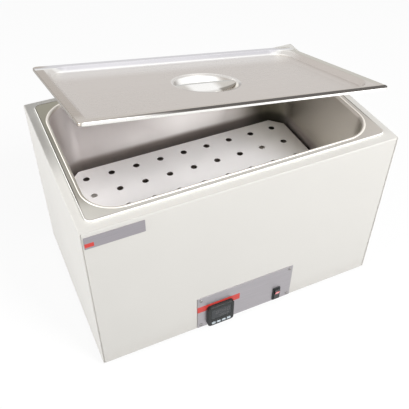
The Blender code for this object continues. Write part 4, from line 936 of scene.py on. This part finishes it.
def makeLid():
    shape = lidShape
    top = shape["skirt"]
    panel = top - shape["drop"]
    border = shape["border"]
    foot = border + shape["riser"]
    slopeEnd = foot + shape["panelSlope"]
    flatEnd = slopeEnd + shape["panelFlat"]
    points = [(0, 0), (0, top), (border, top), (foot, panel + shape["riserFoot"]), (slopeEnd, panel),
              (flatEnd, panel)]
    bend = shape["bendHalf"]
    insets = (0, 2 * shape["sheet"], border - bend, border + bend, foot - bend,
              foot + shape["panelFlat"], flatEnd)
    corners = list(zip(insets, shape["cornerRadii"]))
    rings = []
    for across, height in softenPath(points, shape["bends"], shape["bendSteps"]):
        ring = addRing(shape["length"] - 2 * across, shape["width"] - 2 * across,
                       readTable(corners, across), shape["steps"])
        rings.append((ring, height))
    for share in shape["dishShares"]:
        depth = shape["dishDepth"] * (1 - share ** shape["dishPower"])
        if share > shape["lipShare"]:
            depth *= (1 - share) * shape["lipSlope"]
        rings.append((addRoundRing(shape["dish"] * share, shape["steps"]), panel - depth))
    piece = bridgeRings("lid_pressing", rings)
    faceUpward(piece)
    addModifier(piece, "SOLIDIFY", thickness=shape["sheet"], offset=-1, use_even_offset=True)
    tiltAsHeld(piece)
    shadeSmooth(piece, 50)
    fitPiece(piece, "lid", "lid_steel", lidSteel, "lid")


lidSteel = makeLidSteel("lid_steel")
makeLid()


# Strap across the dish

strapShape = {"length": 0.111, "end": 0.013, "middle": 0.050, "swellPower": 0.75, "drop": 0.0030,
              "sag": 0.0042, "crown": 0.0012, "lean": 0.07, "sheet": 0.0012, "edge": 0.0004, "tip": 0.005,
              "tipShare": 0.45, "columns": 52, "rows": 16}
# the strap's tones are painted highlight, shade and shadow lines
strapTones = {"middle": (0.93, 0.92, 0.90), "end": (0.56, 0.53, 0.49), "paintedFarEdgeShade": (0.50, 0.50, 0.48),
              "near": (0.66, 0.64, 0.61), "nearLine": (0.24, 0.215, 0.185)}
# Shares of the strap's length and width
strapShares = {"middle": 0.455, "end": (0.16, 0.32), "near": (0.22, 0.02), "paintedFarEdgeShade": (0.80, 0.86),
               "nearLine": (0.26, 0.14), "paintedShadowLineStart": (0.62, 0.70)}


def makeStrapSteel(name):
    # polished strap with painted light: a painted highlight in the middle, painted shade towards its ends
    # and along its near side, and painted shadow lines along either edge
    tones, shares = strapTones, strapShares
    finish = Finish(name, Metallic=1.0)
    along, across = finish.axes(finish.add("ShaderNodeTexCoord", output="UV"))[:2]
    grain = finish.noise(scale=300, detail=2)
    # painted highlight in the middle, painted shade towards the ends and near side
    shade = finish.mix(finish.fade(abs(along - shares["middle"]), *shares["end"]), tones["middle"],
                       tones["end"])
    shade = finish.mix(finish.fade(across, *shares["near"]), shade, tones["near"])
    shade = finish.mix(finish.fade(across, *shares["paintedFarEdgeShade"]), shade, tones["paintedFarEdgeShade"])
    # painted shadow line along the near edge, on the right part
    paintedNearShadowLine = finish.fade(across, *shares["nearLine"]) * finish.fade(along, *shares["paintedShadowLineStart"])
    shade = finish.mix(paintedNearShadowLine, shade, tones["nearLine"])
    return finish.wear(Base_Color=shade, Roughness=grain * 0.06 + 0.2,
                       Normal=finish.bump(grain, strength=0.01, distance=0.0001))


def makeStrap():
    shape = strapShape
    top = lidShape["skirt"] - lidShape["drop"] - shape["drop"]
    deselectAll()
    bpy.ops.mesh.primitive_grid_add(x_subdivisions=shape["columns"], y_subdivisions=shape["rows"], size=2)
    piece = nameIt(bpy.context.object, "strap_pressing")
    startEditing(piece)
    mesh = bmesh.from_edit_mesh(piece.data)
    half = shape["length"] / 2
    for vert in mesh.verts:
        x = vert.co.x * half
        across = vert.co.y
        swell = max(0, math.cos(math.pi / 2 * min(1, abs(x) / half))) ** shape["swellPower"]
        width = shape["end"] / 2 + (shape["middle"] - shape["end"]) / 2 * swell
        past = max(0, abs(x) - (half - shape["tip"])) / shape["tip"]
        width *= shape["tipShare"] + (1 - shape["tipShare"]) * math.sqrt(1 - min(1, past) ** 2)
        height = top - (shape["sag"] + shape["crown"] * across ** 2) * swell
        vert.co = (x, across * width, height + shape["lean"] * across * width)
    bmesh.update_edit_mesh(piece.data)
    stopEditing()
    addModifier(piece, "SOLIDIFY", thickness=shape["sheet"], offset=-1, use_even_offset=True)
    softenEdges(piece, shape["edge"], 3, 60)
    tiltAsHeld(piece)
    shadeSmooth(piece, 50)
    fitPiece(piece, "lid", "lid_steel", strapSteel, "lid_strap")


strapSteel = makeStrapSteel("strap_steel")
makeStrap()
print("water bath: lid pressed")


# Screws: one is modelled for each place of use, the others are copies

screwShape = {"shank": 0.0015, "shankLength": 0.004,
              "headShares": ((1, 0), (1, 0.35), (0.93, 0.62), (0.78, 0.84), (0.5, 1), (0.1, 1)),
              "armShare": 0.66, "slot": 0.00035, "slotFootShare": 0.35, "slotTopShare": 1.6,
              "slotTurn": 0.5}


def addScrews(places, turn, radius=0.0031, height=0.0014):
    # pan heads with a cross recess, on short shanks
    shape = screwShape
    profile = [(shape["shank"], -shape["shankLength"]), (shape["shank"], 0)]
    profile += [(radius * across, height * up) for across, up in shape["headShares"]]
    piece = addTurned("screw", profile)
    arm, half = radius * shape["armShare"], shape["slot"]
    foot, top = height * shape["slotFootShare"], height * shape["slotTopShare"]
    for way in ((arm, half), (half, arm)):
        slot = addBlock("slot", (-way[0], -way[1], foot), (way[0], way[1], top))
        slot.rotation_euler.z = shape["slotTurn"]
        applyPlace(slot)
        carve(piece, [slot])
    piece.rotation_euler = turn
    applyPlace(piece)
    shadeSmooth(piece)
    return setOut(piece, places)


def fitScrews(screws, nodes=()):
    for number, screw in enumerate(screws):
        fitPiece(screw, "cabinet", "screw_steel", screwSteel, *nodes[number:number + 1])


# Fascia, its screws and the name plate

fasciaShape = {"corner": 0.001, "cornerSteps": 4, "edge": 0.0003}
namePlateShape = {"corner": 0.0008, "cornerSteps": 3, "edge": 0.00025}


def addPlate(node, name, shape):
    low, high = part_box(node)
    return addSoftBlock(name, low, high, alongY, shape["corner"], shape["cornerSteps"])


def finishPlate(piece, shape, finish, node):
    softenEdges(piece, shape["edge"], 2, 50)
    shadeSmooth(piece)
    fitPiece(piece, "cabinet", "fascia_metal", finish, node)


def makeFascia():
    low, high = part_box("fascia_plate")
    piece = addPlate("fascia_plate", "fascia_sheet", fasciaShape)
    carve(piece, addFrontCutters(low.y, high.y))
    finishPlate(piece, fasciaShape, fasciaMetal, "fascia_plate")
    nodes = ["fascia_screw_" + str(number) for number in range(1, 5)]
    places = []
    for number, node in enumerate(nodes, 1):
        middle = sum(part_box(node), Vector()) / 2
        places.append(("fascia_screw_head_" + str(number), (middle.x, low.y - thinGap, middle.z)))
    fitScrews(addScrews(places, (math.pi / 2, 0, 0)), nodes)


def makeNamePlate():
    piece = addPlate("name_plate", "name_plate_sheet", namePlateShape)
    finishPlate(piece, namePlateShape, nameMetal, "name_plate")


makeFascia()
makeNamePlate()
print("water bath: plates on")


# Controller, its window and its keys

controllerShape = {"corner": 0.0065, "cornerSteps": 8, "edge": 0.0018, "edgeSteps": 5,
                   "bezelBack": -0.17725, "body": 0.0445, "softEdge": 0.0002, "windowCorner": 0.0015,
                   "windowSteps": 4, "windowEdge": 0.00015, "recess": 0.0011}
keyShape = {"count": 4, "corner": 0.0013, "cornerSteps": 5, "edge": 0.0004, "edgeSteps": 3,
            "pocket": 0.0011, "pocketSteps": 4}
segmentShape = {"digits": 4, "height": 0.0075, "width": 0.0042, "stroke": 0.0008, "pitch": 0.0066,
                "thick": 0.0001, "cornerShare": 0.35}


def keyNode(number):
    return "controller_button_" + str(number)


def keyPlaces(name):
    # a key and its pocket are modelled at their own depth, so that only x and z are left to set
    middles = [sum(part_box(keyNode(number)), Vector()) / 2 for number in range(1, keyShape["count"] + 1)]
    return [(name + str(number), (middle.x, 0, middle.z)) for number, middle in enumerate(middles, 1)]


def makeController():
    shape = controllerShape
    low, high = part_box("controller_case")
    piece = addSoftBlock("controller_bezel", low, (high.x, shape["bezelBack"], high.z), alongY,
                         shape["corner"], shape["cornerSteps"])
    startEditing(piece)
    choose("EDGE", lambda middle, way: middle.y < low.y + nearly)
    roundChosen(shape["edge"], shape["edgeSteps"])
    choose("FACE", lambda middle, normal: normal.y > 0.9)
    bpy.ops.mesh.inset(thickness=(high.x - low.x - shape["body"]) / 2, depth=0)
    bpy.ops.mesh.extrude_region_move(TRANSFORM_OT_translate={"value": (0, high.y - shape["bezelBack"], 0)})
    stopEditing()
    windowLow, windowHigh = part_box("controller_window")
    recess = addSoftBlock("window_recess",
                          (windowLow.x - thinGap, low.y - overrun, windowLow.z - thinGap),
                          (windowHigh.x + thinGap, low.y + shape["recess"], windowHigh.z + thinGap),
                          alongY, shape["windowCorner"], shape["windowSteps"])
    keyLow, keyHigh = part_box(keyNode(1))
    half = (keyHigh - keyLow) / 2
    pocket = addSoftBlock("key_pocket", (-half.x - thinGap, low.y - overrun, -half.z - thinGap),
                          (half.x + thinGap, keyHigh.y + keyShape["pocket"], half.z + thinGap), alongY,
                          keyShape["corner"], keyShape["pocketSteps"])
    carve(piece, [recess] + setOut(pocket, keyPlaces("key_pocket_")))
    fixNormals(piece)
    softenEdges(piece, shape["softEdge"], 2, 60)
    shadeSmooth(piece)
    fitPiece(piece, "cabinet", "black_moulding", blackPlastic, "controller_case")
    window = addSoftBlock("window_pane", windowLow, windowHigh, alongY, shape["windowCorner"],
                          shape["windowSteps"])
    softenEdges(window, shape["windowEdge"], 2, 50)
    shadeSmooth(window)
    fitPiece(window, "cabinet", "window", smokedWindow, "controller_window")


def makeKeys():
    shape = keyShape
    low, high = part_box(keyNode(1))
    half = (high - low) / 2
    key = addSoftBlock("key_cap", (-half.x, low.y, -half.z), (half.x, high.y, half.z), alongY,
                       shape["corner"], shape["cornerSteps"])
    startEditing(key)
    choose("EDGE", lambda middle, way: middle.y < low.y + nearly)
    roundChosen(shape["edge"], shape["edgeSteps"])
    stopEditing()
    shadeSmooth(key)
    for number, key in enumerate(setOut(key, keyPlaces("key_cap_")), 1):
        fitPiece(key, "button_" + str(number), "keys", greyKey, keyNode(number))


def makeSegmentRow(name, middleX, middleZ, front, scale):
    # seven flat bars with clipped corners make a digit, which is copied along the row
    shape = segmentShape
    tall, wide, stroke = (shape[key] * scale for key in ("height", "width", "stroke"))
    bars = [(0, level * tall / 2, wide - stroke, stroke) for level in (-1, 0, 1)]
    bars += [(side * wide / 2, level * tall / 4, stroke, tall / 2 - stroke)
             for side in (-1, 1) for level in (-1, 1)]
    pieces = []
    halfThick = shape["thick"] / 2
    for x, z, width, height in bars:
        bar = addBlock("segment", (x - width / 2, -halfThick, z - height / 2),
                       (x + width / 2, halfThick, z + height / 2))
        startEditing(bar)
        choose("EDGE", lambda middle, way: abs(way.y) > 0.9)
        roundChosen(stroke * shape["cornerShare"], 1)
        stopEditing()
        pieces.append(bar)
    first = middleX - (shape["digits"] - 1) / 2 * shape["pitch"] * scale
    places = [("digit", (first + number * shape["pitch"] * scale, front, middleZ))
              for number in range(shape["digits"])]
    row = nameIt(joinPieces(setOut(joinPieces(pieces), places)), name)
    fitPiece(row, "cabinet", "window", unlitSegments)


displayShape = {"upperRight": 0.003, "upperDrop": 0.0095, "upperScale": 1.15,
                "lowerRight": 0.006, "lowerRise": 0.0065, "lowerScale": 0.75}


def makeDisplay():
    shape = displayShape
    low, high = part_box("controller_window")
    middleX = (low.x + high.x) / 2
    makeSegmentRow("display_upper", middleX + shape["upperRight"], high.z - shape["upperDrop"], low.y,
                   shape["upperScale"])
    makeSegmentRow("display_lower", middleX + shape["lowerRight"], low.z + shape["lowerRise"], low.y,
                   shape["lowerScale"])


makeController()
makeKeys()
makeDisplay()
print("water bath: controller fitted")


# Rocker switch

switchShape = {"corner": 0.0016, "cornerSteps": 5, "edge": 0.0005, "edgeSteps": 3, "flange": 0.0018,
               "flangeStep": 0.0016, "pocketGap": 0.0006, "pocketDepth": 0.0092, "softEdge": 0.0002}
rockerShape = {"halfHeight": 0.0125, "tip": 0.0032, "middle": 0.0012, "width": 0.0100, "depth": 0.0080,
               "backShare": 0.35, "keelShare": 0.55, "crest": 0.003, "crestSteps": 6, "edge": 0.0003,
               "tilt": 9, "pivot": (0.0698, -0.17905, 0.0285)}
lensShape = {"low": 0.0018, "high": 0.0108, "width": 0.0078, "proud": 0.0002, "deep": 0.0009,
             "pocket": 0.0012}


def tiltAsSwitched(piece):
    piece.location = rockerShape["pivot"]
    piece.rotation_euler = (math.radians(rockerShape["tilt"]), 0, 0)
    applyPlace(piece)


def makeSwitch():
    shape = switchShape
    low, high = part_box("switch_housing")
    flangeBack = low.y + shape["flange"]
    housing = addSoftBlock("switch_bezel", low, (high.x, flangeBack, high.z), alongY, shape["corner"],
                           shape["cornerSteps"])
    startEditing(housing)
    choose("EDGE", lambda middle, way: middle.y < low.y + nearly)
    roundChosen(shape["edge"], shape["edgeSteps"])
    choose("FACE", lambda middle, normal: normal.y > 0.9)
    bpy.ops.mesh.inset(thickness=shape["flangeStep"], depth=0)
    bpy.ops.mesh.extrude_region_move(TRANSFORM_OT_translate={"value": (0, high.y - flangeBack, 0)})
    stopEditing()
    middleX, middleZ = (low.x + high.x) / 2, (low.z + high.z) / 2
    halfX = rockerShape["width"] / 2 + thinGap
    halfZ = rockerShape["halfHeight"] + shape["pocketGap"]
    carve(housing, [addBlock("rocker_pocket", (middleX - halfX, low.y - overrun, middleZ - halfZ),
                             (middleX + halfX, low.y + shape["pocketDepth"], middleZ + halfZ))])
    fixNormals(housing)
    softenEdges(housing, shape["softEdge"], 2, 60)
    shadeSmooth(housing)
    fitPiece(housing, "cabinet", "black_moulding", blackPlastic, "switch_housing")


def addLensBlock(name, grow, out, into):
    # a block on the rocker's upper slope, where the lens sits
    rocker, lens = rockerShape, lensShape
    slope = (rocker["tip"] - rocker["middle"]) / rocker["halfHeight"]
    middle = (lens["low"] + lens["high"]) / 2
    halfWidth, halfHeight = lens["width"] / 2 + grow, (lens["high"] - lens["low"]) / 2 + grow
    block = addBlock(name, (-halfWidth, -out, -halfHeight), (halfWidth, into, halfHeight))
    block.rotation_euler = (math.atan(slope), 0, 0)
    block.location = (0, -rocker["middle"] - slope * middle, middle)
    applyPlace(block)
    return block


def makeRocker():
    shape, lensSize = rockerShape, lensShape
    half, wide = shape["halfHeight"], shape["width"] / 2
    rocker = addBlock("rocker_moulding", (-wide, -shape["tip"], -half),
                      (wide, shape["depth"] * shape["backShare"], half))
    startEditing(rocker)
    bpy.ops.mesh.select_all(action="SELECT")
    bpy.ops.mesh.bisect(plane_co=(0, 0, 0), plane_no=(0, 0, 1))
    choose("VERT", lambda place: abs(place.z) < nearly and place.y < 0)
    bpy.ops.transform.translate(value=(0, shape["tip"] - shape["middle"], 0))
    choose("VERT", lambda place: abs(place.z) < nearly and place.y > 0)
    bpy.ops.transform.translate(value=(0, shape["depth"] * shape["keelShare"], 0))
    choose("EDGE", lambda middle, way: abs(middle.z) < nearly and middle.y < 0 and abs(way.x) > 0.9)
    roundChosen(shape["crest"], shape["crestSteps"])
    stopEditing()
    carve(rocker, [addLensBlock("lens_pocket", thinGap, overrun, lensSize["pocket"])])
    fixNormals(rocker)
    softenEdges(rocker, shape["edge"], 2, 50)
    tiltAsSwitched(rocker)
    shadeSmooth(rocker)
    fitPiece(rocker, "rocker", "black_moulding", blackGloss, "switch_rocker")
    lens = addLensBlock("lens_moulding", 0, lensSize["proud"], lensSize["deep"])
    softenEdges(lens, shape["edge"], 3, 50)
    tiltAsSwitched(lens)
    shadeSmooth(lens)
    fitPiece(lens, "rocker", "lens", redLens, "rocker_lens")


makeSwitch()
makeRocker()
print("water bath: switch fitted")


# Feet and their screws

footShape = {"radius": 0.013, "tip": 0.010, "recess": 0.0062, "recessDepth": 0.0045, "edge": 0.0006,
             "tipEdge": 0.0005, "taper": 0.0042, "screw": 0.0036, "screwHead": 0.0018,
             "corners": ("front_left", "front_right", "rear_left", "rear_right")}


def makeFeet():
    shape = footShape
    recess, edge = shape["recess"], shape["edge"]
    for corner in shape["corners"]:
        node = "rubber_foot_" + corner
        low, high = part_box(node)
        middle = (low + high) / 2
        profile = [(recess, shape["recessDepth"]), (recess, edge), (recess + edge, 0),
                   (shape["tip"] - edge, 0), (shape["tip"], shape["tipEdge"]),
                   (shape["radius"], shape["taper"]), (shape["radius"], high.z - edge),
                   (shape["radius"] - edge, high.z)]
        foot = addTurned("foot", profile, 40)
        shadeSmooth(foot)
        setOut(foot, [("foot_" + corner, (middle.x, middle.y, 0))])
        fitPiece(foot, "cabinet", "foot_rubber", rubber, node)
        places = [("foot_screw_" + corner, (middle.x, middle.y, shape["recessDepth"]))]
        fitScrews(addScrews(places, (math.pi, 0, 0), shape["screw"], shape["screwHead"]))


makeFeet()


# Screws on the rear: of the panel that closes the back, and of the inlet

rearShape = {"side": 0.272, "top": 0.331, "levels": (0.029, 0.180), "inletHead": 0.0014,
             "turn": (-math.pi / 2, 0, 0)}


def makeRearScrews():
    shape = rearShape
    side = shape["side"]
    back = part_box("rear_panel")[1].y
    spots = [(x, shape["top"]) for x in (-side, 0, side)]
    spots += [(x, z) for x in (-side, side) for z in shape["levels"]]
    places = [("rear_screw_" + str(number), (x, back, z)) for number, (x, z) in enumerate(spots, 1)]
    fitScrews(addScrews(places, shape["turn"]))


def makeInletScrews():
    nodes = ["inlet_screw_1", "inlet_screw_2"]
    places = []
    for node in nodes:
        low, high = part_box(node)
        middle = (low + high) / 2
        places.append((node + "_head", (middle.x, high.y - rearShape["inletHead"], middle.z)))
    fitScrews(addScrews(places, rearShape["turn"]), nodes)


makeRearScrews()
print("water bath: feet and rear screws on")


# Smooth copies of the nodes whose shape is already right

def smoothNode(node, name, body, slotName, finish, angle):
    piece = copyPiece(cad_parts[node], name)
    piece.parent = None
    for key in list(piece.keys()):
        del piece[key]
    startEditing(piece)
    bpy.ops.mesh.select_all(action="SELECT")
    bpy.ops.mesh.remove_doubles(threshold=2 * mergeGap)
    bpy.ops.mesh.tris_convert_to_quads(face_threshold=math.radians(2), shape_threshold=math.radians(180))
    stopEditing()
    shadeSmooth(piece, angle)
    fitPiece(piece, body, slotName, finish, node)


smoothNodes = [
    ("immersion_heater", "heater_tube", "cabinet", "heater_sheath", heaterSteel, 60),
    ("heater_gland_1", "gland_1", "cabinet", "fitting_brass", brass, 35),
    ("heater_gland_2", "gland_2", "cabinet", "fitting_brass", brass, 35),
    ("probe_gland", "gland_3", "cabinet", "fitting_brass", brass, 35),
    ("temperature_probe", "probe_tube", "cabinet", "heater_sheath", screwSteel, 60),
    ("impeller", "impeller_moulding", "stirrer", "white_moulding", whitePlastic, 35),
    ("stirrer_pin", "stirrer_post", "cabinet", "leg_steel", legSteel, 35),
    ("stirrer_cap", "stirrer_nut", "cabinet", "white_moulding", whitePlastic, 35),
    ("inlet_housing", "inlet_moulding", "cabinet", "black_moulding", blackPlastic, 35),
    ("fuse_drawer", "fuse_tray_moulding", "fuse_tray", "black_moulding", blackPlastic, 35),
]
for entry in smoothNodes:
    smoothNode(*entry)
makeInletScrews()

# Nodes that keep their own mesh, with a finish each
keptNodes = {
    "rear_panel": cabinetPaint, "base_plate": cabinetPaint, "rim_gasket": silicone,
    "tank_insulation": glassWool, "heater_nut_1": brass, "heater_nut_2": brass, "probe_nut": brass,
    "drive_magnet": motorPaint, "motor_shaft": screwSteel, "motor": motorPaint, "motor_bracket": zincSteel,
    "overheat_cutout": blackPlastic, "solid_state_relay": blackPlastic, "relay_heat_sink": castAlloy,
    "terminal_block": whitePlastic, "controller_clamp": blackPlastic, "inlet_pin_1": brass,
    "inlet_pin_2": brass, "inlet_pin_3": brass,
}
for keptName, keptFinish in keptNodes.items():
    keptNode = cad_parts[keptName]
    if not keptNode.data.materials:
        keptNode.data.materials.append(keptFinish)
    for slotNumber in range(len(keptNode.material_slots)):
        keptNode.material_slots[slotNumber].material = keptFinish
print("water bath: inner pieces finished")


# Floor, light and camera

studio = {"ambient": 0.18, "floor": (0.36, 0.36, 0.36), "seenFloor": (0.85, 0.85, 0.85), "white": 0.9,
          "floorSize": 14, "floorLevel": -0.0002, "aim": (0, 0, 0.2)}
# Each lamp's place, width and power
lamps = (((-2.1, -0.2, 1.0), 1.4, 35), ((0.85, -1.85, 2.25), 1.0, 87), ((1.1, -1.0, 0.5), 0.8, 3.0),
         ((0.9, 1.1, 2.6), 2.4, 8), ((-1.8, 2.2, 0.9), 1.4, 10))
photoCamera = {"place": (-0.367804, -0.778501, 0.946970), "turn": (46.81598, -0.42454, -24.80458),
               "sensor": 36, "lens": 52.7311}


def makeFloor():
    deselectAll()
    bpy.ops.mesh.primitive_plane_add(size=studio["floorSize"], location=(0, 0, studio["floorLevel"]))
    floor = nameIt(bpy.context.object, "studio_floor")
    applyPlace(floor)
    finish = Finish("studio_floor_paper", Roughness=0.9, Specular_IOR_Level=0.0)
    tree = finish.tree
    seen = finish.seenRays()
    finish.wear(Base_Color=finish.mix(seen, studio["floor"], studio["seenFloor"]))
    paper = finish.add("ShaderNodeEmission", inputs={"Color": (1, 1, 1, 1), "Strength": 1.0})
    blend = finish.add("ShaderNodeMixShader", inputs={0: seen * studio["white"], 2: paper})
    tree.links.new(finish.shader.outputs[0], blend.socket.node.inputs[1])
    tree.links.new(blend.socket, tree.nodes["Material Output"].inputs["Surface"])
    floor.data.materials.append(finish.material)


def makeWorld():
    world = bpy.data.worlds.new("studio_world")
    bpy.context.scene.world = world
    world.use_nodes = True
    board = Board(world.node_tree)
    level = board.add("ShaderNodeMapRange",
                      inputs={"Value": board.seenRays(), "To Min": studio["ambient"], "To Max": 1.0})
    backdrop = world.node_tree.nodes["Background"]
    backdrop.inputs["Color"].default_value = (1, 1, 1, 1)
    board.tree.links.new(level.socket, backdrop.inputs["Strength"])


def makeLamps():
    for number, (place, size, power) in enumerate(lamps, 1):
        deselectAll()
        bpy.ops.object.light_add(type="AREA", location=place)
        lamp = bpy.context.object
        lamp.name = "softbox_" + str(number)
        lamp.data.size = size
        lamp.data.energy = power
        aim = Vector(studio["aim"]) - Vector(place)
        lamp.rotation_euler = aim.to_track_quat("-Z", "Y").to_euler()


def makeCamera():
    deselectAll()
    bpy.ops.object.camera_add(location=photoCamera["place"])
    camera = bpy.context.object
    camera.name = "photo_camera"
    camera.rotation_euler = [math.radians(angle) for angle in photoCamera["turn"]]
    camera.data.sensor_width = photoCamera["sensor"]
    camera.data.lens = photoCamera["lens"]
    bpy.context.scene.camera = camera


makeFloor()
makeWorld()
makeLamps()
makeCamera()
bpy.context.scene.view_settings.view_transform = "Standard"
print("water bath: studio set")
